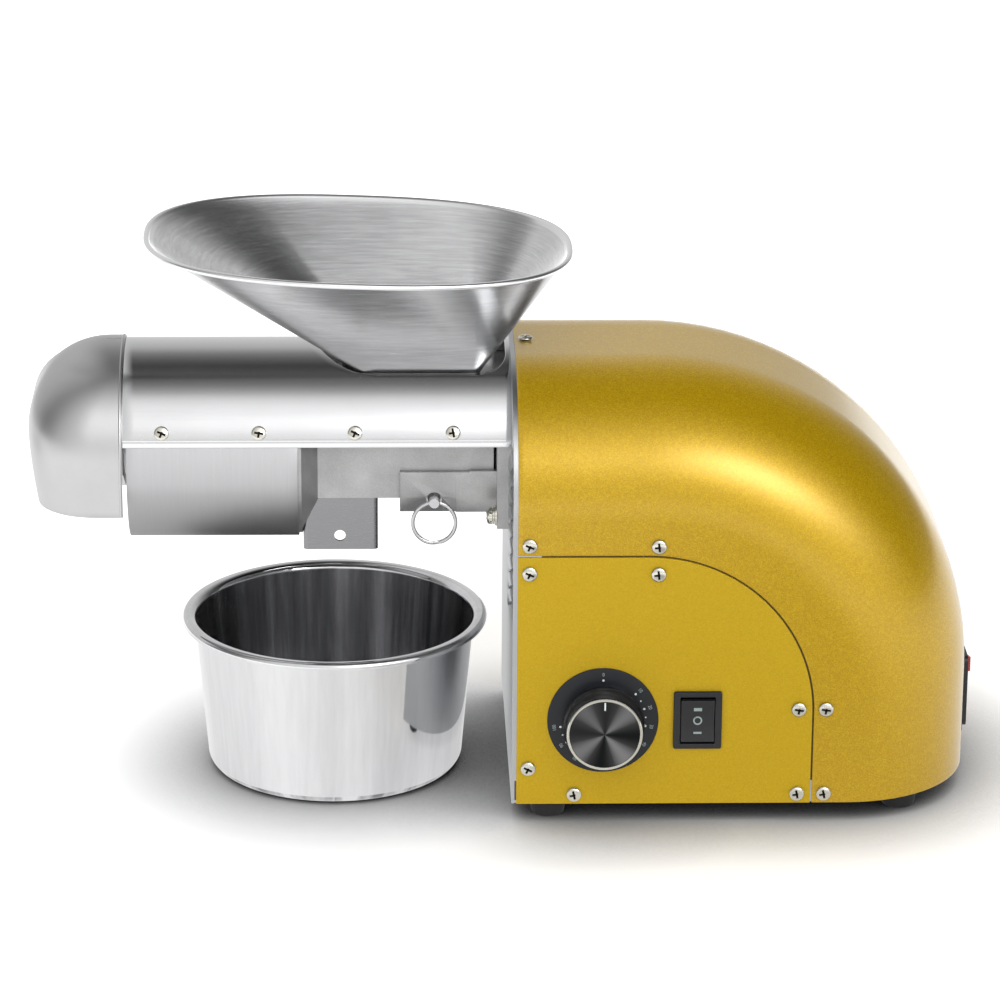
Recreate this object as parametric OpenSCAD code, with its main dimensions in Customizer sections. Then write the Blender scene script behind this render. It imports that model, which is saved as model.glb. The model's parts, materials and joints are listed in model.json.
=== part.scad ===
// Table-top screw oil press: a gear motor in a sheet housing turns a press screw in a
// perforated cage. Seed falls from the hopper, oil drips down the chute into the bowl
// and pressed cake leaves through the end cap.
// Working frame: X along the barrel towards the housing, Y away from the control side,
// Z up, with X = 0 at the housing's mouth, Y = 0 on the barrel and Z = 0 at the table.

/* [Housing] */
// Length of the housing from its mouth to the round end
body_l = 239.5; // [236:0.5:256]
// Width over the two side panels
body_w = 186; // [180:1:200]
// Height of the flat top above the table
body_h = 234; // [232:1:240]
// Radius of the big round end, seen from the side
round_r = 170; // [168:1:176]
// Radius that rounds the shoulders and the end's corners
shoulder_r = 67; // [60:1:70]
// Thickness of the painted sheet
sheet = 1.8; // [1.2:0.1:2]
// Outer radius of the side panel's arc
panel_r = 87; // [82:1:90]
// Width of the seam round a side panel
seam = 1.0; // [0.6:0.1:1.4]
// Height of the feet
foot_h = 10; // [8:1:14]

/* [Controls] */
// Diameter of the dial plate
dial_d = 57.5; // [52:0.5:58]
// Diameter of the knob at its face
knob_d = 39; // [34:0.5:40]
// Distance from the panel to the knob's face
knob_h = 21; // [17:0.5:24]
// Height of the dial and the switch above the table
control_z = 57; // [54:0.5:60]

/* [Barrel] */
// Height of the barrel's axis above the table
barrel_z = 180.8; // [180:0.2:182]
// Outer radius of the barrel's round cover
cover_r = 53; // [52.5:0.5:53.5]
// Length of the cover in front of the housing
cover_l = 203; // [200:1:206]
// Outer diameter of the press cage
cage_d = 40; // [40:0.5:41]
// Outer diameter of the press screw's flight
flight_d = 29; // [27:0.5:29]
// Number of turns of the flight
flight_turns = 7; // [5:1:8]
// Length of the end cap
cap_l = 50; // [48:1:54]

/* [Hopper] */
// Length of the hopper's oval rim
rim_l = 222.8; // [210:0.2:226]
// Width of the hopper's oval rim
rim_w = 171.2; // [160:0.2:176]
// Height of the rim's middle above the table
rim_z = 289.2; // [284:0.2:294]
// Fall of the rim towards the housing, in degrees
rim_fall = 2; // [1:0.5:3]

/* [Bowl] */
// Outer diameter of the bowl's rolled rim
bowl_d = 162; // [150:1:164]
// Height of the bowl
bowl_h = 84.5; // [76:0.5:88]

/* [Hidden] */
$fn = 64;

eps = 0.01;
half_w = body_w / 2;
arc_x = body_l - round_r;               // centre of the big round end
arc_z = body_h - round_r;
core_r = round_r - shoulder_r;          // flat part of a side wall
flat_w = half_w - shoulder_r;           // half the flat top
panel_x = 67;                           // centre of the side panel's arc
panel_z = 60;
inner_y = half_w - sheet;
tray_t = 1.5;                           // sheet of the end plate and the base plate
tray_x = -2.4;                          // outer face of the end plate
flange_l = 12;                          // depth of their folded flanges

// Fasteners on one side, as [x, z]
housing_screw_at = [[6, 152.5], [72, 152], [160, 62.5], [160, 15.5]];
panel_screw_at = [[6, 137.5], [72, 137], [146, 62.5], [146, 15.5], [6, 30], [30, 15.5]];
screw_r = 2;                            // shank of an M4 screw
head_r = 3.8;
head_h = 2.2;

dial_x = 44.5;
switch_x = 93.5;
switch_size = [25, 31.4];
switch_flange = 2;
window = [18, 25.8];                    // opening for the front rocker
switch_pivot_y = -half_w + 4;
inlet_z = 40.3;                         // middle of the power inlet
inlet_size = [31, 45.2];
inlet_flange = 2.4;
inlet_bezel = 2.2;                      // raised frame round its socket and switch
inlet_window = [19.6, 9];
inlet_rocker_z = 54;
inlet_pivot_x = body_l + 0.5;
inlet_tilt = 8;

cover_t = 1.2;
cover_edge = 15.3;                      // cover's lower edge, degrees above the axis
cover_in = cover_r - cover_t;
guard_l = [-201, -112.7];
chamber_x = [-102.7, -11];
chamber_w = 60;
chamber_z = [156.8, 205];
bracket_x = -9.6;                       // left face of the bracket's block
cage_r = cage_d / 2;
cage_in = flight_d / 2 + 0.5;
cage_x = [-208, -20];
neck = [-80.6, -18.1, 28.4];            // hopper's neck: its two ends and half its width
slot_x = [-103, -5];                    // opening in the cover round the neck
slot_half = neck[2] + 2;
slot_corner = 14;
neck_z = 224.5;
cap_r = cover_r + 1;                    // end cap's arch
cap_low = 154.5;                        // its bottom edge
crown_r = 40.5;                         // its top corner, seen from the side
crown_x = crown_r - cover_l - cap_l;
crown_z = barrel_z + cap_r - crown_r;
cover_screw_x = [-182.5, -132.5, -83, -32.5];
cover_screw_a = 20.1;
pin_x = -42;
pin_z = 156.6;
pin_r = 3.2;
pin_y = [-38.8, -14];                   // outer and inner ends of the pull pin
pin_hole = 4.2;                         // its opening in the cradle
spring_bore = 5;                        // the wider bore behind, for collar, spring and sleeve
spring_y = [-30, -17.8];
ring_r = 11.1;
ring_wire = 1.0;
ring_y = -36.9;
cradle_x = -59.8;                       // open end of the cradle
cradle_root = [-30.7, -23.6];           // where its walls get thicker, then higher
cradle_top = 171.9;
washers = [[5.4, 1], [4.7, 1.3]];       // under each bracket bolt: flat, then sprung
bowl_at = [-94.5, -3];

// Gear train: two pairs with the same teeth, of a fast and a slow tooth module
pinion_teeth = 12;
gear_teeth = 60;
fast_module = 1.0;
slow_module = 1.5;
idler_z = barrel_z - slow_module * (pinion_teeth + gear_teeth) / 2;
motor_z = idler_z - fast_module * (pinion_teeth + gear_teeth) / 2;
case_end = 50;
cover_x = 58;                           // outer face of the gearbox cover
motor_x = [63, 152];
motor_r = 46;

// The model's origin: the middle of its footprint, on the table
reach = [-cover_l - cap_l, inlet_pivot_x + 6.19, -half_w - knob_h, half_w + head_h];
middle = [(reach[0] + reach[1]) / 2, (reach[2] + reach[3]) / 2, 0];

gold = [0.78, 0.62, 0.12];
satin_gold = [0.78, 0.64, 0.18];
steel = [0.78, 0.79, 0.8];
polished = [0.88, 0.88, 0.9];
casting = [0.6, 0.6, 0.6];
black = [0.08, 0.08, 0.09];
grey_sheet = [0.72, 0.73, 0.74];

// ---- helpers -------------------------------------------------------------------------

// Puts children's Z axis along +X, on an axis at height z
module along_x(x, z = barrel_z, y = 0) translate([x, y, z]) rotate([0, 90, 0]) children();

// Draws a tube along +X
module tube_x(x0, x1, r_out, r_in, z = barrel_z) {
    along_x(x0, z) difference() {
        cylinder(r = r_out, h = x1 - x0);
        translate([0, 0, -1]) cylinder(r = r_in, h = x1 - x0 + 2);
    }
}

// Extrudes a shape drawn in the XZ plane from y0 to y1
module across_y(y0, y1) translate([0, y1, 0]) rotate([90, 0, 0]) linear_extrude(y1 - y0) children();

// Extrudes a shape drawn in the YZ plane from x0 to x1
module across_x(x0, x1) translate([x0, 0, 0]) rotate([90, 0, 90]) linear_extrude(x1 - x0) children();

// Points on an arc, from angle a0 to a1
function arc(at, r, a0, a1, n = 6) = [for (k = [0:n]) let (a = a0 + (a1 - a0) * k / n) at + r * [cos(a), sin(a)]];

module both_sides() {
    children();
    mirror([0, 1, 0]) children();
}

// A square with round corners, centred
module round_rect(size, r) {
    square([size[0] - 2 * r, size[1]], center = true);
    square([size[0], size[1] - 2 * r], center = true);
    for (x = [-1, 1], y = [-1, 1])
        translate([x * (size[0] / 2 - r), y * (size[1] / 2 - r)]) circle(r);
}

// Pan head screw with a cross recess: head above Z = 0, shank below
module pan_screw(len, r = screw_r, rh = head_r, h = head_h) {
    difference() {
        union() {
            rotate_extrude() polygon([
                [0, 0], [rh, 0], [rh, 0.35 * h],
                for (a = [15:15:90]) [rh * (0.35 + 0.65 * cos(a)) * (a < 90 ? 1 : 0), h * (0.35 + 0.65 * sin(a))]
            ]);
            translate([0, 0, -len]) cylinder(r = r, h = len + eps);
        }
        for (a = [45, 135]) rotate([0, 0, a])
            translate([-0.55 * rh, -0.13 * rh, h - 1.2]) cube([1.1 * rh, 0.26 * rh, 2]);
    }
}

// ---- housing -------------------------------------------------------------------------

// Cross-section of the housing: x is the distance from the round end's axis, y is Y
module section(inset, low) {
    translate([low, inset - half_w]) square([core_r - low, body_w - 2 * inset]);
    translate([low, -flat_w]) square([round_r - inset - low, 2 * flat_w]);
    for (s = [-1, 1]) translate([core_r, s * flat_w]) circle(shoulder_r - inset);
}

// The U-shaped wall between two insets
module wall(outer, inner, low) difference() {
    section(outer, low);
    section(inner, low - 1);
}

// Stands the section up, from x0 to x1
module stand(x0, x1) translate([x1, 0, arc_z]) rotate([0, -90, 0]) linear_extrude(x1 - x0) children();

// Lays the section flat under the round end, from z0 to z1
module lay(z0, z1) translate([arc_x, 0, z0]) linear_extrude(z1 - z0) children();

// Outline of a side panel in the XZ plane
module panel_outline(gap) {
    r = panel_r - gap;
    translate([0, foot_h]) square([panel_x, panel_z - foot_h + r]);
    translate([0, foot_h]) square([panel_x + r, panel_z - foot_h]);
    translate([panel_x, panel_z]) intersection() {
        circle(r, $fn = 96);
        square(r + 1);
    }
}

module holes(spots, r) for (p = spots) translate(p) circle(r);

module housing_shell() color(gold) {
    difference() {
        union() {
            stand(0, arc_x) wall(0, sheet, foot_h - arc_z);
            translate([arc_x, 0, arc_z]) rotate([90, 0, 0]) rotate_extrude(angle = 90) wall(0, sheet, 0);
            lay(foot_h, arc_z) wall(0, sheet, 0);
        }
        both_sides() across_y(-half_w - 1, -inner_y + 0.2) {
            translate([-1, 0]) panel_outline(0);
            panel_outline(0);
        }
        both_sides() across_y(-half_w - 1, -inner_y + 1) holes(housing_screw_at, screw_r + 0.05);
        translate([6, 0, body_h - 3]) cylinder(r = screw_r + 0.05, h = 4);
        translate([body_l - 3, 0, inlet_z]) cube([10, 28, 42], center = true);
    }
    // joggled lip behind the seam, which the side panels' screws bite into
    both_sides() across_y(-inner_y, -inner_y + 1.2) difference() {
        intersection() {
            panel_outline(-9);
            translate([flange_l + 0.2, foot_h + 12.2]) square([200, 200]);
        }
        translate([-1, -1]) panel_outline(14);
        holes(concat(housing_screw_at, panel_screw_at), screw_r + 0.05);
    }
}

module side_panel() across_y(-half_w, -inner_y) difference() {
    panel_outline(seam);
    holes(panel_screw_at, screw_r + 0.05);
}

module front_side_panel() color(satin_gold) difference() {
    side_panel();
    translate([dial_x, 0, control_z]) rotate([90, 0, 0]) cylinder(r = 4.6, h = 200);
    across_y(-half_w - 1, -inner_y + 1) translate([switch_x, control_z]) square([21, 28.2], center = true);
}

module rear_side_panel() color(satin_gold) mirror([0, 1, 0]) side_panel();

module end_plate() color(grey_sheet) {
    difference() {
        stand(tray_x, tray_x + tray_t) section(1, foot_h - arc_z);
        across_x(tray_x - 1, 0) {
            translate([0, barrel_z]) circle(26);
            for (s = [-1, 1], k = [0:8])
                translate([s * 71, 116 + 9 * k]) round_rect([24, 4.6], 2.2);
            holes(bolt_at, 3.05);
        }
    }
    // folded flange inside the shell
    difference() {
        stand(tray_x + tray_t, flange_l) wall(sheet, sheet + tray_t, foot_h + flange_l + 0.2 - arc_z);
        both_sides() across_y(-half_w, -inner_y + 3)
            holes([housing_screw_at[0], panel_screw_at[0], panel_screw_at[4]], screw_r + 0.05);
        translate([6, 0, body_h - 6]) cylinder(r = screw_r + 0.05, h = 8);
    }
}

module base_plate() color(grey_sheet) {
    difference() {
        union() {
            lay(foot_h, foot_h + tray_t) section(sheet, 0);
            translate([tray_x + tray_t, -inner_y, foot_h]) cube([arc_x - tray_x - tray_t, 2 * inner_y, tray_t]);
        }
        for (p = foot_at) translate([p[0], p[1], 0]) cylinder(r = screw_r + 0.05, h = 20);
        for (k = [0:7]) translate([100 + 9 * k, 0, foot_h]) cube([4, 60, 10], center = true);
    }
    difference() {
        union() {
            lay(foot_h + tray_t, foot_h + flange_l) wall(sheet, sheet + tray_t, 0);
            both_sides() translate([flange_l + 0.2, -inner_y, foot_h + tray_t])
                cube([arc_x - flange_l - 0.2, tray_t, flange_l - tray_t]);
        }
        both_sides() across_y(-half_w, -inner_y + 3)
            holes([housing_screw_at[3], panel_screw_at[3], panel_screw_at[5]], screw_r + 0.05);
        translate([body_l - 6, 0, inlet_z]) cube([20, 31, 44], center = true);
    }
}

foot_at = [[17, -78], [202, -69], [202, 69], [17, 78]];

module feet() color(black) for (p = foot_at) translate([p[0], p[1], 0]) difference() {
    rotate_extrude() polygon([[0, 0], [8.2, 0], [9, 0.8], [9.8, foot_h - 1], [9.8, foot_h], [0, foot_h]]);
    translate([0, 0, -1]) cylinder(r = 4.4, h = 5);
    cylinder(r = screw_r + 0.05, h = foot_h + 1);
}

module foot_screws() color(steel) for (p = foot_at)
    translate([p[0], p[1], 4]) mirror([0, 0, 1]) pan_screw(foot_h + 1);

// Screws on both sides, turned to face outwards
module side_screws(spots, len) both_sides() for (p = spots)
    translate([p[0], -half_w, p[1]]) rotate([90, 0, 0]) pan_screw(len);

module housing_screws() color(steel) {
    side_screws(housing_screw_at, 6);
    translate([6, 0, body_h]) pan_screw(3.5);
}

module panel_screws() color(steel) side_screws(panel_screw_at, 6);

// ---- controls ------------------------------------------------------------------------

// Puts children's Z axis along -Y, out of the front panel, at x and the controls' height
module on_panel(x) translate([x, -half_w, control_z]) rotate([90, 0, 0]) children();

module dial_plate() color(black) on_panel(dial_x) difference() {
    cylinder(r = dial_d / 2, h = 1, $fn = 96);
    translate([0, 0, -1]) cylinder(r = 4.6, h = 3);
}

// Knob: a narrow foot that flares to a finger edge and leans in again to the face
module control_knob() color(black) on_panel(dial_x) difference() {
    rotate_extrude($fn = 96) polygon([
        [0, 1.4], [knob_d / 2 - 1.2, 1.4], [knob_d / 2 - 0.6, 3.4], [knob_d / 2 + 1.2, 7.8],
        [knob_d / 2 + 1.7, 9], [knob_d / 2 + 0.8, 12], [knob_d / 2, knob_h - 0.8],
        [knob_d / 2 - 0.6, knob_h], [0, knob_h]
    ]);
    translate([0, 0, 1]) cylinder(r = 8.5, h = 3.6);
    cylinder(r = 3, h = knob_h - 3);
    translate([0, 0, knob_h - 0.6]) cylinder(r = knob_d / 2 - 1.4, h = 1);
}

// Spun metal disc let into the knob, with the pointer groove
module knob_face() color([0.16, 0.16, 0.17]) on_panel(dial_x) difference() {
    translate([0, 0, knob_h - 0.6]) cylinder(r = knob_d / 2 - 1.4, h = 0.5);
    translate([-0.5, knob_d / 2 - 6.5, knob_h - 0.25]) cube([1, 5, 1]);
}

module control_spindle() color(steel) on_panel(dial_x)
    translate([0, 0, -20]) cylinder(r = 3, h = 20 + knob_h - 3);

module control_body() color([0.2, 0.22, 0.3]) on_panel(dial_x) difference() {
    union() {
        translate([0, 0, -sheet - 20]) cylinder(r = 14, h = 20);
        translate([0, 0, -sheet]) cylinder(r = 4.55, h = sheet + 4);
        translate([0, 0, 1]) cylinder(r = 7, h = 2.4, $fn = 6);
        for (x = [-8, 0, 8]) translate([x - 1.5, -20, -sheet - 12]) cube([3, 8, 0.8]);
    }
    translate([0, 0, -20.5]) cylinder(r = 3.05, h = 30);
}

module switch_body() color(black) on_panel(switch_x) {
    difference() {
        union() {
            linear_extrude(switch_flange) round_rect(switch_size, 1.2);
            translate([0, 0, -22]) linear_extrude(22) square([21, 28.2], center = true);
        }
        translate([0, 0, -15]) linear_extrude(20) square(window, center = true);
        translate([-9.9, 0, -4]) rotate([0, 90, 0]) cylinder(r = 1.45, h = 19.8);
    }
    for (x = [-6, 6], y = [-9, 0, 9])
        translate([x - 2.4, y - 0.4, -30]) cube([4.8, 0.8, 8]);
}

// A rocker cap: its two pads dip to the middle. x is along the rocker, y is out of the panel
module rocker_profile(half, rise, dip) polygon([
    [-half, rise], [-half * 0.5, rise - dip * 0.75], [0, rise - dip], [half * 0.5, rise - dip * 0.75],
    [half, rise], [half, rise - 4], [3.2, -4], [-3.2, -4], [-half, rise - 4]
]);

module switch_rocker() color(black) translate([switch_x, switch_pivot_y, control_z]) {
    rotate([180, 0, 0]) rotate([0, 90, 0]) translate([0, 0, -window[0] / 2 + 0.3])
        linear_extrude(window[0] - 0.6) rocker_profile(11.4, 7.2, 1.6);
    translate([-9.7, 0, 0]) rotate([0, 90, 0]) cylinder(r = 1.4, h = 19.4);
}

module socket_outline() polygon([
    [-12.2, -8.3], [12.2, -8.3], [12.2, 3.4], [7.4, 8.3], [-7.4, 8.3], [-12.2, 3.4]
]);

module inlet_body() color(black) difference() {
    union() {
        across_x(body_l, body_l + inlet_flange) translate([0, inlet_z]) round_rect(inlet_size, 2);
        across_x(body_l + 1, body_l + inlet_flange + inlet_bezel) translate([0, inlet_z])
            round_rect(inlet_size - [2.6, 5.6], 3);
        translate([body_l - 24, -13.8, inlet_z - 20.8]) cube([24, 27.6, 41.6]);
    }
    across_x(body_l - 17, body_l + 5) translate([0, inlet_z - 8.6]) socket_outline();
    translate([body_l - 8, -inlet_window[0] / 2, inlet_rocker_z - inlet_window[1] / 2])
        cube([20, inlet_window[0], inlet_window[1]]);
    translate([inlet_pivot_x, 0, inlet_rocker_z - 5.5]) cylinder(r = 1.25, h = 11);
    for (y = [-5, 5], z = [-9.5]) translate([body_l - 25, y - 2, inlet_z + z - 0.8]) cube([10, 4, 1.6]);
    translate([body_l - 25, -2, inlet_z - 6.6]) cube([10, 4, 1.6]);
}

module inlet_pins() color(steel) {
    for (y = [-5, 5]) translate([body_l - 30, y - 2, inlet_z - 10.3]) cube([26, 4, 1.6]);
    translate([body_l - 30, -2, inlet_z - 6.6]) cube([27, 4, 1.6]);
}

module inlet_rocker() color([0.75, 0.06, 0.05]) translate([inlet_pivot_x, 0, inlet_rocker_z]) {
    rotate([0, 0, -90 + inlet_tilt]) translate([0, 0, -inlet_window[1] / 2 + 0.3])
        linear_extrude(inlet_window[1] - 0.6) rocker_profile(8.9, 5, 1.2);
    translate([0, 0, -5.3]) cylinder(r = 1.2, h = 10.6);
}

// ---- barrel --------------------------------------------------------------------------

// Outline of the cradle across the barrel
module cradle_outline(grow, top) polygon([
    for (s = [-1, 1], p = s < 0 ? [[33, top], [33, 158.1], [27, 148.3]] : [[27, 148.3], [33, 158.1], [33, top]])
        [s * (p[0] + grow), p[1] - (p[1] < top ? grow : 0)]
]);

// The bore that the pull pin runs in, half in the cradle's floor and half in the chamber
module pin_bore() translate([pin_x, 0, pin_z]) rotate([90, 0, 0]) {
    translate([0, 0, -pin_y[1] - 2]) cylinder(r = pin_r + 0.1, h = 20);
    translate([0, 0, -spring_y[1]]) cylinder(r = spring_bore, h = spring_y[1] - spring_y[0]);
}

// Fixed casting: a block on the end plate and a cradle that holds the press chamber
module mount_bracket() color(casting) difference() {
    union() {
        translate([bracket_x, -48, 145.8]) cube([tray_x - bracket_x, 96, 70]);
        across_x(cradle_x, bracket_x + 1) cradle_outline(0, cradle_top);
        across_x(cradle_root[0], bracket_x + 1) cradle_outline(0.3, cradle_top);
        across_x(cradle_root[1], bracket_x + 1) cradle_outline(0.3, cradle_top + 0.6);
    }
    translate([cradle_x - 1, -chamber_w / 2 - 0.25, chamber_z[0]])
        cube([bracket_x - cradle_x + 1, chamber_w + 0.5, 40]);
    along_x(-15) cylinder(r = 20.5, h = 20);
    intersection() {
        along_x(-15) difference() {
            cylinder(r = 80, h = 20);
            translate([0, 0, -1]) cylinder(r = cover_in - 0.3, h = 22);
        }
        translate([-15, -60, barrel_z + 8]) cube([20, 120, 60]);
    }
    pin_bore();
    translate([pin_x, spring_y[0] + 0.5, pin_z]) rotate([90, 0, 0]) cylinder(r = pin_hole, h = 8);
    for (p = bolt_at) translate([bracket_x - 1, p[0], p[1]]) rotate([0, 90, 0]) cylinder(r = 3.05, h = 20);
}

bolt_at = [[-44, 152], [44, 152], [-36, 200], [36, 200]];

module bracket_bolts() color(steel) for (p = bolt_at)
    translate([bracket_x, p[0], p[1]]) rotate([0, -90, 0]) {
        cylinder(r = washers[0][0], h = washers[0][1]);
        cylinder(r = washers[1][0], h = washers[0][1] + washers[1][1]);
        translate([0, 0, washers[0][1] + washers[1][1] - eps]) pan_screw(14, 3, 4.6, 3.3);
    }

// Flared front of the chamber casting: a round flange that closes the lower guard
module chamber_flare(grow = 0) hull() {
    translate([chamber_x[0] - 0.1, -chamber_w / 2 - grow, chamber_z[0] - grow])
        cube([0.1, chamber_w + 2 * grow, 38]);
    along_x(guard_l[1] - 0.2) cylinder(r = cover_in - 1.4, h = 2 + grow, $fn = 48);
}

module press_chamber() color(casting) {
    difference() {
        union() {
            translate([chamber_x[0], -chamber_w / 2, chamber_z[0]])
                cube([chamber_x[1] - chamber_x[0], chamber_w, chamber_z[1] - chamber_z[0]]);
            chamber_flare();
            // lugs that carry the cover's screws
            for (x = [cover_screw_x[2], cover_screw_x[3]]) intersection() {
                along_x(x - 7) cylinder(r = cover_in, h = 14);
                translate([x - 7, -60, 194.6]) cube([14, 120, 10.4]);
            }
        }
        along_x(-130) cylinder(r = cage_r, h = 125);
        // feed throat
        translate([neck[0] + 3, -neck[2] + 3, barrel_z]) cube([neck[1] - neck[0] - 6, 2 * neck[2] - 6, 40]);
        // oil window
        translate([-104, -12, 150]) cube([30, 24, 20]);
        pin_bore();
        cover_screw_holes(2.05);
    }
}

module press_cage() color(steel) difference() {
    tube_x(cage_x[0], cage_x[1], cage_r, cage_in);
    // feed opening
    translate([-76, -13, barrel_z]) cube([52, 26, 30]);
    // oil slits round the lower half
    for (a = [-75:15:75]) translate([-102, 0, barrel_z]) rotate([a, 0, 0])
        translate([0, -0.5, -cage_r - 1]) cube([26, 1, 12]);
}

// Core radius along the screw: it swells towards the cake end and squeezes the seed
function core_r_at(x) = 6.5 + 4.5 * min(1, max(0, (-30 - x) / 160));
// Flight's turns close up towards the cake end
function flight_x(t) = -24 - 160 * pow(t, 0.86);

module blade(t) translate([flight_x(t), 0, barrel_z]) rotate([t * 360 * flight_turns, 0, 0])
    translate([-1.2, -0.4, 0]) cube([2.4, 0.8, flight_d / 2 * min(1, 0.75 + 3 * t, 0.75 + 3 * (1 - t))]);

module press_screw() color(polished) {
    steps = 20 * flight_turns;
    for (k = [0:steps - 1]) hull() {
        blade(k / steps);
        blade((k + 1) / steps);
    }
    along_x(-190) cylinder(r1 = core_r_at(-190), r2 = core_r_at(-30), h = 160, $fn = 32);
    along_x(-30.1) cylinder(r = core_r_at(-30), h = 6, $fn = 32);
    along_x(-218) cylinder(r1 = 5, r2 = core_r_at(-190), h = 28.1, $fn = 32);
    along_x(-24.2) cylinder(r = 6.2, h = 18, $fn = 6);
}

// Nut that closes the cage and leaves a narrow ring round the screw's tip
module nozzle_nut() color(steel) difference() {
    union() {
        along_x(-216) cylinder(r = 27, h = 12, $fn = 6);
        along_x(-222) cylinder(r = 18, h = 7);
    }
    along_x(cage_x[0]) cylinder(r = cage_r, h = 20);
    along_x(-214) cylinder(r = cage_in, h = 20);
    along_x(-223) cylinder(r = 7.5, h = 20);
}

module heater_band() color([0.66, 0.62, 0.55]) {
    difference() {
        tube_x(-192, -124, cage_r + 5, cage_r);
        translate([-200, -2, barrel_z - 40]) cube([90, 4, 40]);
    }
    for (x = [-186, -138]) translate([x, -7, barrel_z - 35]) difference() {
        cube([8, 14, 12]);
        translate([-1, 5, -1]) cube([10, 4, 20]);
    }
}

module temperature_probe() color(steel) translate([-120.4, 0, barrel_z + cage_r - 0.02]) {
    cylinder(r = 3, h = 14);
    translate([0, 0, 8]) cylinder(r = 5.5, h = 4, $fn = 6);
}

// Disc that centres the cage in the guard, with a raised rim over its upper half: the
// cover sits round the rim's inner part and the end cap slides over its outer part
module barrel_end_ring() color([0.3, 0.3, 0.31]) {
    tube_x(guard_l[0], guard_l[0] + 2, cover_in - cover_t, cage_r);
    intersection() {
        union() {
            tube_x(guard_l[0] - 10, guard_l[0] + 2, cover_in, cover_in - 2.5);
            tube_x(guard_l[0] - 10, -cover_l - 0.3, cover_r - 1, cover_in - 1.5);
        }
        translate([guard_l[0] - 20, -60, barrel_z + 24]) cube([40, 120, 60]);
    }
}

// A sheet bent round the barrel between two angles, measured from +Y up to -Y
module bent_sheet(x0, x1, r_out, t, a0, a1) translate([x1, 0, barrel_z]) rotate([0, -90, 0])
    rotate([0, 0, 90 - a1]) rotate_extrude(angle = a1 - a0, $fn = 128)
        translate([r_out - t, 0]) square([t, x1 - x0]);

module cover_screw_holes(r) for (x = cover_screw_x, s = [-1, 1])
    translate([x, 0, barrel_z]) rotate([s * (90 - cover_screw_a), 0, 0])
        translate([0, 0, 30]) cylinder(r = r, h = 40);

// Long opening that the hopper's neck drops through, round at its far end
module cover_slot() translate([0, 0, barrel_z]) linear_extrude(80) {
    translate([slot_x[0] + slot_half, 0]) circle(slot_half);
    translate([slot_x[0] + slot_half, -slot_half])
        square([slot_x[1] - slot_x[0] - slot_half - slot_corner, 2 * slot_half]);
    translate([slot_x[1] - 44, 0]) round_rect([88, 2 * slot_half], slot_corner);
}

module top_cover() color(polished) difference() {
    bent_sheet(-cover_l, tray_x, cover_r, cover_t, cover_edge, 180 - cover_edge);
    cover_slot();
    cover_screw_holes(2.05);
}

module cover_screws() color(steel) for (x = cover_screw_x, s = [-1, 1])
    translate([x, 0, barrel_z]) rotate([s * (90 - cover_screw_a), 0, 0])
        translate([0, 0, cover_r - 0.02]) pan_screw(6);

module lower_guard() color(steel) difference() {
    bent_sheet(guard_l[0], guard_l[1], cover_in, 1.2, 152, 388);
    cover_screw_holes(2.05);
}

module oil_chute() color(steel) difference() {
    translate([-90.8, 0, 128.5]) difference() {
        linear_extrude(chamber_z[0] - 128.5) round_rect([39, chamber_w], 2.5);
        translate([0, 0, -1]) linear_extrude(40) round_rect([36, chamber_w - 3], 1);
    }
    chamber_flare(0.3);
    translate([-91.2, 0, 136.1]) rotate([90, 0, 0]) cylinder(r = 3, h = 80, center = true);
}

// End cap: an arch over the barrel whose closed end is rounded in every view. It is
// the hull of level outlines, each with two round corners at the closed end.
function cap_half(z, inset) = z <= barrel_z ? cap_r - inset
    : sqrt(max(0.01, pow(cap_r - inset, 2) - pow(z - barrel_z, 2)));
function cap_nose(z, inset) = z <= crown_z ? inset - cover_l - cap_l + 4 * pow((crown_z - z) / 37, 1.5)
    : crown_x - sqrt(max(0, pow(crown_r - inset, 2) - pow(z - crown_z, 2)));

module cap_level(z, inset, mouth) {
    half = cap_half(z, inset);
    nose = cap_nose(z, inset);
    r = min(32 - inset, half, mouth - nose);
    side = arc([nose + r, half - r], r, 90, 180);
    translate([0, 0, z]) linear_extrude(eps) polygon(concat(
        [[mouth, half]], side, [for (k = [len(side) - 1:-1:0]) [side[k][0], -side[k][1]]], [[mouth, -half]]
    ));
}

module cap_form(inset, low, mouth) hull() {
    for (z = [low, 168, barrel_z]) cap_level(z, inset, mouth);
    for (a = [0:15:90]) cap_level(crown_z + (crown_r - inset) * sin(a), inset, mouth);
}

module end_cap() color(steel) difference() {
    cap_form(0, cap_low, -cover_l);
    cap_form(cover_t, cap_low - 5, -cover_l + 1);
}

// ---- hopper and bowl -----------------------------------------------------------------

// Rim outline: an oval a little fuller than an ellipse
function oval(a, b, n = 72, p = 2.48) = [
    for (k = [0:n - 1]) let (t = 360 * k / n, c = cos(t), s = sin(t))
        [a * sign(c) * pow(abs(c), 2 / p), b * sign(s) * pow(abs(s), 2 / p)]
];
lip_w = 5.5;
rim_at = [-81, 0, rim_z];

module rim_slab(inset, low, high) translate(rim_at) rotate([0, rim_fall, 0]) translate([0, 0, low])
    linear_extrude(high - low) polygon(oval(rim_l / 2 - inset, rim_w / 2 - inset));

module neck_slab(inset, z, h) translate([neck[0] + inset, -neck[2] + inset, z])
    cube([neck[1] - neck[0] - 2 * inset, 2 * (neck[2] - inset), h]);

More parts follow.
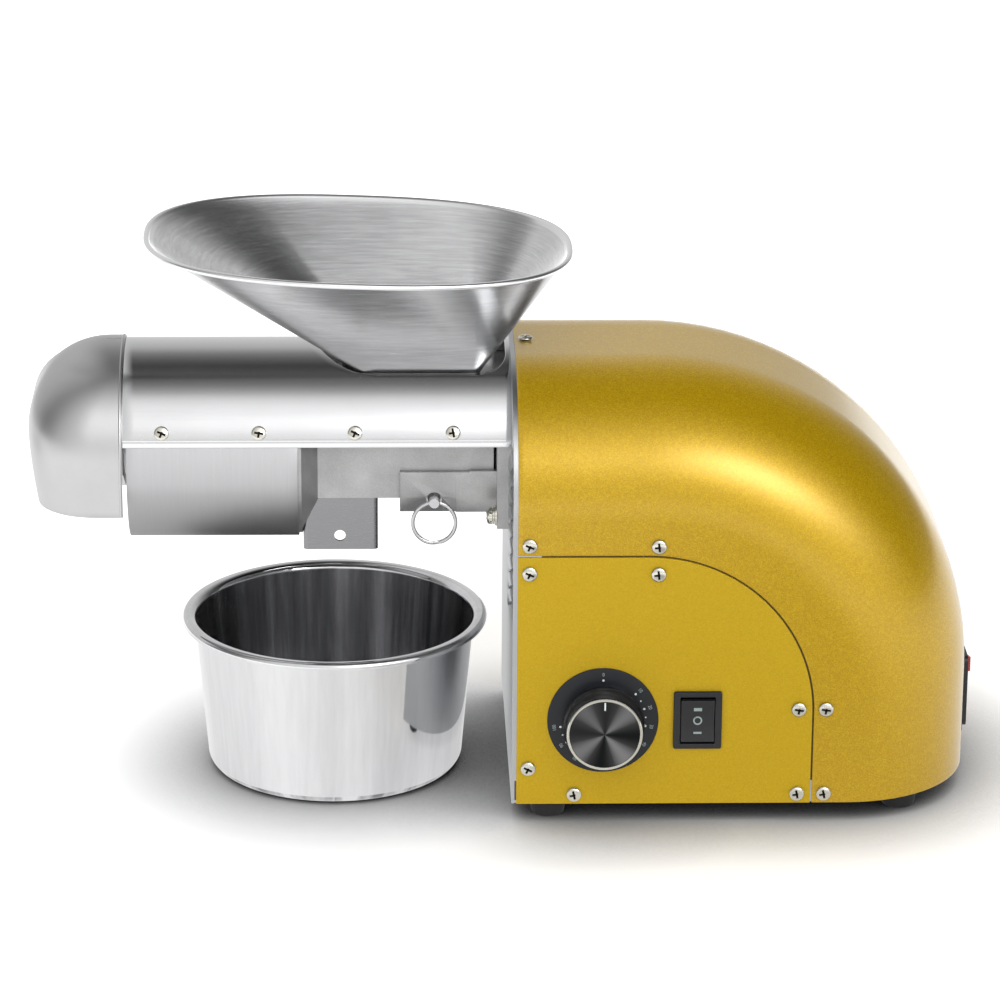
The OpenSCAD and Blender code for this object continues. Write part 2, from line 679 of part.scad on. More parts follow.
module hopper() color(steel) difference() {
    union() {
        hull() {
            rim_slab(lip_w, -1.2, -0.4);
            neck_slab(0.05, neck_z, 0.1);
        }
        neck_slab(0, chamber_z[1] + 0.3, neck_z - chamber_z[1] - 0.2);
        // flat lip with its edge turned down
        rim_slab(0.3, -1, 0);
        difference() {
            rim_slab(0, -3, -0.4);
            rim_slab(1.2, -4, 0);
        }
    }
    hull() {
        rim_slab(lip_w + 1, -1, 0.5);
        neck_slab(1, neck_z - 0.1, 0.1);
    }
    neck_slab(1.05, chamber_z[1] - 1, neck_z - chamber_z[1] + 1);
}

// Spun bowl: slightly flared wall, wide rim that rolls over
module oil_bowl() color(polished) translate([bowl_at[0], bowl_at[1], 0]) rotate_extrude($fn = 128) {
    r = bowl_d / 2;
    base = [r - 21, 8];                 // centre of the base's round corner
    flare = [r - 3.8, bowl_h - 4];
    roll = [r - 2.5, bowl_h - 2.5];
    polygon(concat(
        [[0, 0]], arc(base, 8, -90, 0), arc(flare, 3, 180, 90), arc(roll, 1.5, 90, -30),
        arc(roll, 2.5, -30, 90), arc(flare, 4, 90, 180), arc(base, 7, 0, -90), [[0, 1]]
    ));
}

// ---- pull pin ------------------------------------------------------------------------

module pull_pin() color(polished) difference() {
    translate([pin_x, 0, pin_z]) rotate([90, 0, 0]) {
        translate([0, 0, -pin_y[1]]) cylinder(r = pin_r, h = pin_y[1] - pin_y[0] - 0.6);
        translate([0, 0, -pin_y[0] - 0.61]) cylinder(r1 = pin_r, r2 = pin_r - 0.6, h = 0.6);
        translate([0, 0, 18]) cylinder(r = spring_bore - 0.1, h = 1.2);
    }
    translate([pin_x - 5, ring_y, pin_z]) rotate([0, 90, 0]) cylinder(r = 1.6, h = 10);
}

module pin_sleeve() color(steel) translate([pin_x, 0, pin_z]) rotate([90, 0, 0]) difference() {
    translate([0, 0, -spring_y[0] - 3]) cylinder(r = spring_bore, h = 3);
    translate([0, 0, -spring_y[0] - 4]) cylinder(r = pin_r + 0.05, h = 8);
}

// A wire of radius r along a path, as one closed skin
module wire(path, r, sides = 8) {
    n = len(path);
    dir = function(k) let (d = path[min(k + 1, n - 1)] - path[max(k - 1, 0)]) d / norm(d);
    pts = [for (k = [0:n - 1]) let (d = dir(k), u = cross(d, [0, 1, 0.02]), e = u / norm(u), f = cross(d, e))
        for (j = [0:sides - 1]) path[k] + r * (cos(360 * j / sides) * e + sin(360 * j / sides) * f)];
    polyhedron(pts, concat(
        [[for (j = [0:sides - 1]) j]],
        [for (k = [0:n - 2], j = [0:sides - 1]) let (a = k * sides, b = (j + 1) % sides)
            [a + j, a + sides + j, a + sides + b, a + b]],
        [[for (j = [sides - 1:-1:0]) (n - 1) * sides + j]]
    ));
}

module pin_spring() color(steel) translate([pin_x, 0, pin_z])
    wire([for (k = [0:42]) let (t = k / 42) [4.2 * cos(1260 * t), -19.7 - 6.8 * t, 4.2 * sin(1260 * t)]], 0.4);

module pin_ring() color(polished) translate([pin_x, ring_y, pin_z - ring_r]) rotate([90, 0, 0])
    rotate_extrude($fn = 96) translate([ring_r, 0]) circle(ring_wire, $fn = 24);

// ---- drive ---------------------------------------------------------------------------

function inv(a) = tan(a) * 180 / PI - a;
// Half the angle that a tooth takes up at radius rho
function tooth_half(m, z, rho, slack) = let (rb = m * z * cos(20) / 2)
    90 / z + inv(20) - inv(acos(min(1, rb / max(rho, rb)))) - slack - (rho < rb ? (rb - rho) / rb * 25 : 0);

module gear_outline(m, z, play = 0.06) {
    r = m * z / 2;
    slack = play * m / r * 180 / PI;
    radii = [r - 1.2 * m, max(r * cos(20), r - 0.9 * m), r, r + 0.96 * m];
    polygon([for (k = [0:z - 1], j = [0:7]) let (
        rho = radii[j < 4 ? j : 7 - j],
        a = k * 360 / z + (j < 4 ? -1 : 1) * tooth_half(m, z, rho, slack)
    ) rho * [cos(a), sin(a)]]);
}

module gear(x, z, m, teeth, h, turn = 0) along_x(x, z) rotate([0, 0, turn]) linear_extrude(h) gear_outline(m, teeth);

module case_outline(inset) {
    translate([0, barrel_z]) circle(49.4 - inset);
    translate([-40 + inset, 66 + inset]) square([80 - 2 * inset, barrel_z - 66 - inset]);
}

module bearing(x, z, r_out, r_in, w) along_x(x, z) difference() {
    cylinder(r = r_out, h = w);
    translate([0, 0, -1]) cylinder(r = r_in, h = w + 2);
    for (e = [-eps, w - 0.5]) translate([0, 0, e]) difference() {
        cylinder(r = r_out - 0.2 * (r_out - r_in), h = 0.5 + eps);
        translate([0, 0, -1]) cylinder(r = r_in + 0.25 * (r_out - r_in), h = 3);
    }
}

// Bearings as [x, z, outer radius, bore radius, width]
bearings = [
    [1, barrel_z, 21, 12.02, 9], [cover_x - 8, barrel_z, 16, 10.02, 8],
    [1, idler_z, 13, 5.02, 8], [cover_x - 8, idler_z, 13, 5.02, 8],
    [cover_x, motor_z, 13, 5.02, 5], [motor_x[1] - 2, motor_z, 13, 5.02, 8]
];

module shaft_bearings() color(steel) for (b = bearings) bearing(b[0], b[1], b[2], b[3], b[4]);

module gearbox_case() color(casting) difference() {
    union() {
        difference() {
            across_x(tray_x + tray_t, case_end) case_outline(0);
            across_x(6, case_end + 1) case_outline(2.6);
        }
        along_x(5, barrel_z) cylinder(r = 25, h = 5);
        along_x(5, idler_z) cylinder(r = 17, h = 4);
    }
    along_x(-5, barrel_z) cylinder(r = 14, h = 20);
    along_x(1, barrel_z) cylinder(r = 21, h = 20);
    along_x(1, idler_z) cylinder(r = 13, h = 20);
    for (p = bolt_at) translate([-4, p[0], p[1]]) rotate([0, 90, 0]) cylinder(r = 3.05, h = 8);
}

module gearbox_cover() color(casting) difference() {
    across_x(case_end, cover_x) case_outline(0);
    along_x(case_end - 1, barrel_z) cylinder(r = 16, h = 20);
    along_x(case_end - 1, idler_z) cylinder(r = 13, h = 20);
    along_x(case_end - 1, motor_z) cylinder(r = 9, h = 20);
    for (p = case_screw_at) translate([40, p[0], p[1]]) rotate([0, 90, 0]) cylinder(r = 2.05, h = 30);
}

case_screw_at = [[-35, 72], [35, 72], [-35, 128], [35, 128]];

module gearbox_screws() color(steel) for (p = case_screw_at)
    translate([cover_x, p[0], p[1]]) rotate([0, 90, 0]) pan_screw(7.9);

module output_shaft() color(steel) difference() {
    union() {
        along_x(-22) cylinder(r = 12, h = 62);
        along_x(39.9) cylinder(r = 10, h = cover_x - 39.9);
    }
    along_x(-24.2) cylinder(r = 6.2, h = 18, $fn = 6);
    along_x(-23) cylinder(r = 6.8, h = 0.9);
}

module output_gear() color(steel) difference() {
    gear(12, barrel_z, slow_module, gear_teeth, 16);
    along_x(11) cylinder(r = 12, h = 20);
    for (a = [0:60:300]) along_x(11) rotate([0, 0, a]) translate([27, 0, 0]) cylinder(r = 7, h = 20);
}

// Pinion and gear on one shaft
module idler_gear() color(steel) difference() {
    union() {
        along_x(1, idler_z) cylinder(r = 5, h = cover_x - 1);
        gear(10, idler_z, slow_module, pinion_teeth, 20, 15);
        gear(34, idler_z, fast_module, gear_teeth, 10);
    }
    for (a = [0:60:300]) along_x(33, idler_z) rotate([0, 0, a]) translate([18, 0, 0]) cylinder(r = 5, h = 20);
}

module motor_can() color([0.35, 0.36, 0.38]) tube_x(motor_x[0], motor_x[1], motor_r, motor_r - 2, motor_z);

module stator_core() color([0.45, 0.45, 0.48]) tube_x(82, 134, motor_r - 2, 26, motor_z);

module motor_windings() color([0.72, 0.4, 0.2]) for (x = [72, 134]) along_x(x, motor_z)
    rotate_extrude() translate([34, 5]) round_rect([13, 10], 3);

module motor_end_shields() color(casting) {
    difference() {
        along_x(cover_x, motor_z) cylinder(r = motor_r, h = motor_x[0] - cover_x);
        along_x(cover_x - 1, motor_z) cylinder(r = 13, h = 20);
        for (p = case_screw_at) translate([cover_x - 1, p[0], p[1]]) rotate([0, 90, 0]) cylinder(r = 4.4, h = 30);
    }
    difference() {
        union() {
            along_x(motor_x[1], motor_z) cylinder(r = motor_r, h = 4);
            along_x(motor_x[1] - 4, motor_z) cylinder(r = 17, h = 4.1);
        }
        along_x(motor_x[1] - 10, motor_z) cylinder(r = 6, h = 20);
        along_x(motor_x[1] - 10, motor_z) cylinder(r = 13, h = 16);
    }
}

module motor_rotor() color(steel) {
    along_x(cover_x - 1, motor_z) cylinder(r = 5, h = 118);
    along_x(83, motor_z) cylinder(r = 25.6, h = 50);
    along_x(48, motor_z) cylinder(r = 4.6, h = 10);
    gear(31, motor_z, fast_module, pinion_teeth, 18, 15);
}

module cooling_fan() color(black) along_x(159, motor_z) difference() {
    union() {
        cylinder(r = 12, h = 12);
        for (a = [0:45:315]) rotate([0, 0, a]) translate([10, -1, 0]) cube([28, 2, 11]);
    }
    translate([0, 0, -1]) cylinder(r = 5, h = 20);
}

module fan_cowl() color([0.2, 0.2, 0.21]) difference() {
    along_x(motor_x[1] + 4, motor_z) cylinder(r = motor_r, h = 24);
    along_x(motor_x[1] + 3, motor_z) cylinder(r = motor_r - 1.5, h = 23.5);
    for (a = [0:30:330]) along_x(170, motor_z) rotate([0, 0, a]) translate([28, 0, 0]) cylinder(r = 5, h = 20);
}

module motor_cradle() color(grey_sheet) difference() {
    union() {
        translate([82, -34, foot_h + tray_t]) cube([3, 68, 44]);
        translate([120, -34, foot_h + tray_t]) cube([3, 68, 44]);
    }
    along_x(70, motor_z) cylinder(r = motor_r, h = 60);
}

module run_capacitor() color([0.85, 0.85, 0.83]) along_x(78, foot_h + tray_t + 17.5, 62) {
    cylinder(r = 17.5, h = 58);
    for (y = [-5, 5]) translate([-2, y, 57]) cube([4, 0.8, 9]);
}

module control_board() {
    color([0.1, 0.35, 0.2]) translate([132, -62, foot_h + tray_t + 6]) cube([60, 46, 1.6]);
    color(steel) for (x = [137, 187], y = [-57, -21])
        translate([x, y, foot_h + tray_t]) cylinder(r = 2.5, h = 6);
    color(black) {
        translate([138, -56, foot_h + tray_t + 7.6]) cube([18, 14, 12]);
        translate([162, -56, foot_h + tray_t + 7.6]) cube([22, 8, 9]);
        for (x = [142, 152]) translate([x, -30, foot_h + tray_t + 7.6]) cylinder(r = 4, h = 13);
    }
}

// ---- assembly ------------------------------------------------------------------------

module place() translate(-middle) children();

place() housing_shell();
place() front_side_panel();
place() rear_side_panel();
place() end_plate();
place() base_plate();
place() feet();
place() foot_screws();
place() housing_screws();
place() panel_screws();
place() dial_plate();
place() control_knob();
place() knob_face();
place() control_spindle();
place() control_body();
place() switch_body();
place() switch_rocker();
place() inlet_body();
place() inlet_pins();
place() inlet_rocker();
place() mount_bracket();
place() bracket_bolts();
place() press_chamber();
place() press_cage();
place() press_screw();
place() nozzle_nut();
place() heater_band();
place() temperature_probe();
place() barrel_end_ring();
place() top_cover();
place() cover_screws();
place() lower_guard();
place() oil_chute();
place() end_cap();
place() hopper();
place() pull_pin();
place() pin_spring();
place() pin_sleeve();
place() pin_ring();
place() oil_bowl();
place() gearbox_case();
place() gearbox_cover();
place() gearbox_screws();
place() output_shaft();
place() output_gear();
place() idler_gear();
place() shaft_bearings();
place() motor_can();
place() stator_core();
place() motor_windings();
place() motor_end_shields();
place() motor_rotor();
place() cooling_fan();
place() fan_cowl();
place() motor_cradle();
place() run_capacitor();
place() control_board();
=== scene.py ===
# %% [markdown]
# # A table-top screw oil press
# The press is a painted sheet housing with a motor inside, a steel barrel that sticks out
# of it, a tilted hopper on the barrel and a loose bowl under it. The sizes and the moving
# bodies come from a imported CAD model, which is loaded first and never moved. Where a CAD
# part already has the right shape it only gets a finish and softened edges. Where thin
# sheet, spun metal or small hardware needs a finer mesh, a new piece takes its place.

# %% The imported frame
import json
import math
from contextlib import contextmanager

import bmesh
import bpy
import numpy as np
from mathutils import Matrix, Vector


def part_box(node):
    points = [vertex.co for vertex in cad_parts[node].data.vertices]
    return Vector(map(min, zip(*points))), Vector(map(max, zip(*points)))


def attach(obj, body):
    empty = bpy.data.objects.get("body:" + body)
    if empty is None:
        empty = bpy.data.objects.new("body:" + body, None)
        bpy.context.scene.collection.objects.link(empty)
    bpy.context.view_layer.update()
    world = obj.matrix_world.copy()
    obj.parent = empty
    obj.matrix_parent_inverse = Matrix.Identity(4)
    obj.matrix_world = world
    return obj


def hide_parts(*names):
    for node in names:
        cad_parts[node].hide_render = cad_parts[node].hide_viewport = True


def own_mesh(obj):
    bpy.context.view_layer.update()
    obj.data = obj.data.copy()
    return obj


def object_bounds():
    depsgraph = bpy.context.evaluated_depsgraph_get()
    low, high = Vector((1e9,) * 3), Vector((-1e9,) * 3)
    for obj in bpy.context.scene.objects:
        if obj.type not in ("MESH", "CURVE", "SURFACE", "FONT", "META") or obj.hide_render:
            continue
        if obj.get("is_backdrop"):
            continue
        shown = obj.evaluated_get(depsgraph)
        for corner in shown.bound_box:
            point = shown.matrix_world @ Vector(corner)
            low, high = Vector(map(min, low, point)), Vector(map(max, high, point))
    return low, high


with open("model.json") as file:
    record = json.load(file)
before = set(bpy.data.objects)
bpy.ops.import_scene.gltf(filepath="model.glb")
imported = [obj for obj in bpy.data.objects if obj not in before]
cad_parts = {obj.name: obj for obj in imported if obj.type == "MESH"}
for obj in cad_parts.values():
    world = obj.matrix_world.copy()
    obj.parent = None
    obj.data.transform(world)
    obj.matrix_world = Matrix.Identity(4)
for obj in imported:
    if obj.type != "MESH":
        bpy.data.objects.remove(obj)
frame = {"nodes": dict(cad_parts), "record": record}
cad_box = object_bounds()
cad = frame["nodes"]

# %% [markdown]
# ## One set of millimetres
# A press like this is drawn from two datums: the housing's open mouth and the barrel's
# axis. Working in millimetres from them keeps every number readable. `at` turns such a
# point into the frame's metres, and takes the two datums from the CAD boxes.

# %% Datums
mouth_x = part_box("housing_shell")[0].x
barrel_y = sum(corner.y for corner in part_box("top_cover")) / 2


def at(point):
    """A point in press millimetres, as a place in the frame."""
    x, y, z = point
    return Vector((mouth_x + x / 1000, barrel_y + y / 1000, z / 1000))


def add_object(name, data):
    """A new object in the scene."""
    piece = bpy.data.objects.new(name, data)
    bpy.context.scene.collection.objects.link(piece)
    return piece


barrel_z = 180.8
print("datums at", tuple(round(v, 4) for v in at((0, 0, 0))))

# %% [markdown]
# ## The camera
# The press is seen from a little above and from nearly straight ahead, through a long
# lens, so parallel edges stay nearly parallel. The camera is turned about its own axes one
# after another, which is easier to adjust than one combined rotation.

# %% Camera
camera = add_object("camera", bpy.data.cameras.new("camera"))
bpy.context.scene.camera = camera
camera.data.lens = 162
camera.data.clip_start, camera.data.clip_end = 0.1, 50
look_down, look_right, roll = 19.2, 1.72, 0.4
camera.matrix_world = (
    Matrix.Translation(at((-74.2, -2249.6, 928.8)))
    @ Matrix.Rotation(math.radians(-look_right), 4, "Z")
    @ Matrix.Rotation(math.radians(90 - look_down), 4, "X")
    @ Matrix.Rotation(math.radians(roll), 4, "Z")
)
bpy.context.scene.view_settings.view_transform = "Standard"

# %% [markdown]
# ## A short way to write node trees
# Shader and geometry trees are easier to read as expressions. `Wire` is one output of a
# node, and adding or multiplying wires adds Math nodes. `Net` is a tree with one method
# for every other node: its type, its settings, then the values or wires of its sockets.

# %% Wires and nets
class Wire:
    """One output socket; arithmetic on it adds Math nodes."""

    def __init__(self, net, socket):
        self.net, self.socket = net, socket

    def math(self, operation, *values):
        return self.net.add("ShaderNodeMath", {"operation": operation}, dict(enumerate(values)))

    def __add__(self, other):
        return self.math("ADD", self, other)

    def __sub__(self, other):
        return self.math("SUBTRACT", self, other)

    def __rsub__(self, other):
        return self.math("SUBTRACT", other, self)

    def __mul__(self, other):
        return self.math("MULTIPLY", self, other)

    def __truediv__(self, other):
        return self.math("DIVIDE", self, other)

    def __rtruediv__(self, other):
        return self.math("DIVIDE", other, self)

    def __pow__(self, other):
        return self.math("POWER", self, other)

    __radd__, __rmul__ = __add__, __mul__

    def part(self, low, high):
        """0 below low, 1 above high and even between."""
        ends = {"Value": self, "From Min": low, "From Max": high}
        return self.net.add("ShaderNodeMapRange", {"clamp": True}, ends)

    def call(self, name, *values):
        return self.math(name, self, *values)


class Net:
    """A node tree that is written as expressions."""

    def __init__(self, tree):
        self.tree = tree

    def add(self, kind, settings={}, sockets={}, out=0):
        node = self.tree.nodes.new(kind)
        for key, value in settings.items():
            if key == "stops":
                ramp = node.color_ramp.elements
                while len(ramp) < len(value):
                    ramp.new(0.5)
                for stop, (place, colour) in zip(ramp, value):
                    stop.position, stop.color = place, (*colour, 1)
            else:
                setattr(node, key, value)
        for key, value in sockets.items():
            self.feed(node.inputs[key], value)
        return Wire(self, node.outputs[out])

    def feed(self, socket, value):
        """Joins a wire, or a list of wires, to a socket, or else sets its plain value."""
        wires = value if isinstance(value, list) else [value]
        if isinstance(wires[0], Wire):
            for wire in wires:
                self.tree.links.new(wire.socket, socket)
        elif value is not None:
            socket.default_value = (*value, 1)[:4] if socket.type == "RGBA" else value

    def millimetres(self, stretch=(1, 1, 1), turn=(0, 0, 0), shift=(0, 0, 0)):
        """The piece's own coordinates in millimetres, stretched for a grain."""
        own = self.add("ShaderNodeTexCoord", out="Object")
        scale = [1000 * s for s in stretch]
        sockets = {"Vector": own, "Scale": scale, "Rotation": turn, "Location": shift}
        return self.add("ShaderNodeMapping", {}, sockets)

    def axes(self, place, wanted="xyz"):
        """The wanted coordinates of a vector, one wire each."""
        split = "ShaderNodeSeparateXYZ"
        return [self.add(split, {}, {0: place}, out="xyz".index(axis)) for axis in wanted]

    def vector(self, x=0.0, y=0.0, z=0.0):
        return self.add("ShaderNodeCombineXYZ", {}, {0: x, 1: y, 2: z})

    def noise(self, place, scale, detail=2, rough=0.5):
        sockets = {"Vector": place, "Scale": scale, "Detail": detail, "Roughness": rough}
        return self.add("ShaderNodeTexNoise", {}, sockets)

    def noise_along(self, place, scale, detail):
        """Noise that changes along one number only."""
        sockets = {"W": place, "Scale": scale, "Detail": detail}
        return self.add("ShaderNodeTexNoise", {"noise_dimensions": "1D"}, sockets)

    def mix(self, factor, a, b):
        return self.add("ShaderNodeMix", {"data_type": "RGBA"}, {0: factor, 6: a, 7: b}, out=2)

    def ramp(self, factor, stops):
        return self.add("ShaderNodeValToRGB", {"stops": stops}, {0: factor})

    def bump(self, height, depth):
        """A bump whose height is in millimetres times depth."""
        sockets = {"Strength": 1.0, "Distance": depth / 1000, "Height": height}
        return self.add("ShaderNodeBump", {}, sockets)


finishes = {}


def finish(name, fixed, varied):
    """A material: fixed is the same all over, varied(net) gives what changes on the surface."""
    material = bpy.data.materials.new(name)
    material.use_nodes = True
    net = Net(material.node_tree)
    shader = material.node_tree.nodes["Principled BSDF"]
    for socket, value in {**fixed, **varied(net)}.items():
        net.feed(shader.inputs[socket], value)
    finishes[name] = material


def silver(level):
    """A neutral grey with the trace of blue that bare steel has."""
    return (level, level, level + 0.01)


def grey(level):
    return (level, level, level)

# %% [markdown]
# ## Painted sheet
# The housing is sprayed with a gold metallic paint under clear lacquer. Metallic paint is
# a metal-like base whose small flakes each catch the light a little differently, with a
# smooth clear coat over it that ripples slightly, which sprayers call orange peel. The
# cells of a Voronoi texture stand for the flakes, and a broad noise bends the coat.

# %% Gold paints
def metallic_paint(dark, mid, light, flake, rough):
    def varied(net):
        place = net.millimetres()
        cells = {"Vector": place, "Scale": 1 / flake}
        flakes = net.add("ShaderNodeTexVoronoi", {}, cells, out="Color")
        sparkle = net.add("ShaderNodeSeparateColor", {}, {0: flakes})
        cloud = net.noise(place, 0.03, 3)
        tone = (0.72 * sparkle + 0.28 * net.noise(place, 0.9, 3)).part(0.1, 0.9)
        colour = net.ramp(tone, [(0.0, dark), (0.55, mid), (1.0, light)])
        peel = net.noise(place, 0.22, 2)
        grain = net.noise(place, 1.6, 2)
        return {
            "Base Color": colour,
            "Roughness": rough + 0.1 * (sparkle - 0.5) + 0.06 * (cloud - 0.5),
            "Normal": net.bump(peel + 0.12 * grain, 0.035),
        }

    return varied


finish(
    "gold_paint",
    {"Metallic": 0.36, "Coat Weight": 0.9, "Coat Roughness": 0.19, "Coat IOR": 1.45,
     "Specular IOR Level": 0.15},
    metallic_paint((0.47, 0.27, 0.001), (0.56, 0.34, 0.002), (0.68, 0.46, 0.008), 0.4, 0.34),
)
finish(
    "satin_gold_paint",
    {"Metallic": 0.4, "Coat Weight": 0.2, "Coat Roughness": 0.4, "Specular IOR Level": 0.25},
    metallic_paint((0.53, 0.335, 0.006), (0.59, 0.385, 0.009), (0.65, 0.44, 0.016), 0.36, 0.5),
)
# painted shade: the lips behind the panel seams are near black, standing for the shade in the gap
finish(
    "painted_seam_shade",
    {"Metallic": 0.2},
    metallic_paint((0.05, 0.03, 0.002), (0.08, 0.05, 0.003), (0.1, 0.07, 0.005), 0.42, 0.6),
)

# %% [markdown]
# ## Bare steel
# Every steel part here differs only in how it was last touched: polished, brushed along
# one direction, bead-blasted or cast. One function makes them all. A grain is a noise that
# is stretched along the brushing, and it changes roughness and a very shallow bump. A
# slower noise makes the faint clouds that a real sheet always has. Painted shade darkens the
# guard towards its lower edge, the hopper's downward-facing outer wall towards its neck, and the
# neck itself under the cover.

# %% Steels
def steel(colour, rough, grain=(1, 1, 1), depth=0.0, streak=0.1, cloud=0.05, shaded_below=None):
    """The last argument gives two heights in mm: plain above the first, painted darker as shade
    down to the second.
    """

    def varied(net):
        along = net.millimetres(grain)
        lines = net.noise(along, 1.0, 4, 0.65)
        clouds = net.noise(net.millimetres(), 0.035, 3)
        shade = (1 - streak - cloud) + streak * 2 * lines + cloud * 2 * clouds
        dark = [c * 0.72 for c in colour]
        tone = net.mix(shade.part(0.6, 1.25), dark, [min(1, c * 1.12) for c in colour])
        if shaded_below:
            # painted shade: the steel darkens towards its lower height
            (height,) = net.axes(net.millimetres(), "z")
            tone = net.mix(0.75 * height.part(*shaded_below), tone, grey(0.06))
        out = {
            "Base Color": tone,
            "Roughness": rough + 0.9 * streak * (lines - 0.5) + 0.05 * (clouds - 0.5),
        }
        if depth:
            out["Normal"] = net.bump(lines, depth)
        return out

    return varied


rim_middle, rim_half, rim_fall = (-81.0, 0.0, 289.2), (111.4, 85.6), math.radians(2.0)
neck_top, underside_shade_starts, underside_shade_full = 224.5, 282, 228


def brushed_round(net):
    """The hopper's sheet: brushed level all round, its curled rim painted bright as a highlight,
    its downward-facing wall painted darker as shade towards the neck, and the neck under the cover
    painted near black as shade.
    """
    place = net.millimetres()
    lines = net.noise(net.millimetres((0.045, 0.045, 1.1)), 1.0, 4, 0.7)
    fine = net.noise(net.millimetres((0.1, 0.1, 3.0)), 1.0, 2, 0.6)
    clouds = net.noise(place, 0.03, 3)
    x, z = net.axes(place, "xz")
    rim_plane = rim_middle[2] - (x - (1000 * mouth_x + rim_middle[0])) * math.tan(rim_fall)
    # painted highlight: the curled rim is lighter in colour, and it is also made smoother
    rim_highlight = (z - rim_plane).part(-3.1, -2.3)
    shade = 0.5 + 1.2 * (lines - 0.5) + 0.4 * (fine - 0.5) + 0.8 * (clouds - 0.5)
    wall = net.mix(shade.part(0.0, 1.0), silver(0.54), silver(0.88))
    # painted shade: the wall that faces down darkens towards the neck
    (up,) = net.axes(net.add("ShaderNodeNewGeometry", out="Normal"), "z")
    underside_shade = up.part(0.05, -0.05) * z.part(underside_shade_starts, underside_shade_full)
    wall = net.mix(underside_shade * 0.5, wall, grey(0.12))
    bright = net.mix(rim_highlight, wall, silver(0.86))
    # painted shade: below the neck's top, inside the cover, the sheet is near black
    return {
        "Base Color": net.mix(z.part(neck_top + 0.1, neck_top - 1.1), bright, grey(0.05)),
        "Roughness": 0.24 + 0.14 * (lines - 0.5) - 0.06 * rim_highlight,
        "Normal": net.bump(lines + 0.4 * fine, 0.012),
    }


finish("hopper_steel", {"Metallic": 0.9, "Specular IOR Level": 0.3}, brushed_round)
bowl_at, bowl_r, bowl_h = (-94.5, -3.0), 81.0, 84.5


def spun_steel(net):
    """The bowl's mirror steel: faint upright streaks, and an inside that is rougher and painted
    darker as shade.
    """
    x0, y0, _ = at((*bowl_at, 0))
    x, y, z = net.axes(net.millimetres(shift=(-1000 * x0, -1000 * y0, 0)))
    wall_radius = 67.5 + 0.0855 * (z - 8)
    inside = (wall_radius - (x * x + y * y) ** 0.5).call("GREATER_THAN", 0.0)
    inside = inside * (z - 0.9).call("GREATER_THAN", 0.0)
    inside = inside * (bowl_h - 3.2 - z).call("GREATER_THAN", 0.0)
    angle = x.call("ARCTAN2", y)
    streaks, broad = net.noise_along(angle, 4.5, 3), net.noise_along(angle, 1.3, 1)
    drawn = net.noise(net.millimetres((0.4, 0.4, 0.02)), 1.0, 3)
    outside_tone = (0.7 * broad + 0.15 * streaks + 0.15 * drawn).part(0.35, 0.65)
    inside_tone = (0.8 * streaks + 0.2 * drawn).part(0.36, 0.64)
    outer = net.mix(outside_tone, silver(0.62), silver(0.84))
    # painted shade: the inside of the bowl gets a darker steel
    inner = net.mix(inside_tone, silver(0.26), silver(0.78))
    return {
        "Base Color": net.mix(inside, outer, inner),
        "Roughness": 0.07 + 0.05 * (streaks - 0.5) + 0.14 * inside,
        "Normal": net.bump(drawn, 0.003),
    }


bare = {"Metallic": 1.0}
# the warm tint of the screw steel is a painted reflection of the gold housing
plain_screw = steel((0.72, 0.70, 0.62), 0.22, (1.5, 1.5, 1.5), 0.004, 0.06, 0.03)


def screw_skin(net):
    """Bright steel whose cross recess, told by the attribute sunk, is painted dark as shade, and
    rougher.
    """
    out = plain_screw(net)
    sunk = net.add("ShaderNodeAttribute", {"attribute_name": "sunk"}, out="Fac")
    out["Base Color"] = net.mix(sunk, out["Base Color"], (0.02, 0.018, 0.014))
    out["Roughness"] = out["Roughness"] + 0.35 * sunk
    return out


for name, varied in {
    "polished_steel": steel(silver(0.76), 0.15, (0.02, 2.5, 2.5), 0.004, 0.07, 0.05),
    "mirror_steel": spun_steel,
    # brushed steel is kept dark grey, as painted shade for the oil chute under the barrel
    "brushed_steel": steel(silver(0.30), 0.27, (0.05, 3.0, 3.0), 0.012, 0.16, 0.06),
    # the guard is painted darker towards its lower edge, as shade
    "guard_steel": steel(
        silver(0.60), 0.56, (1.4, 0.04, 0.04), 0.012, 0.16, 0.05, shaded_below=(172, 103)
    ),
    "satin_steel": steel(grey(0.60), 0.38, (0.12, 0.12, 0.12), 0.0, 0.04, 0.16),
    "grey_sheet": steel((0.52, 0.53, 0.54), 0.36, (2.5, 2.5, 0.05), 0.006, 0.08, 0.06),
    "barrel_steel": steel(silver(0.60), 0.28, (3.0, 0.2, 0.2), 0.01, 0.12, 0.06),
    "screw_steel": plain_screw,
    "screw_heads": screw_skin,
    "contact_metal": steel((0.74, 0.70, 0.58), 0.25, (1, 1, 1), 0.004, 0.08, 0.05),
    "heater_metal": steel((0.45, 0.40, 0.33), 0.45, (0.3, 3.0, 3.0), 0.02, 0.15, 0.1),
}.items():
    finish(name, bare, varied)

# %% [markdown]
# ## Castings
# The chamber and its bracket are cast and then blasted with glass beads, which leaves a
# dull grey skin with tiny dimples. Fine noise gives the dimples and a coarser one the
# uneven tone of the casting.

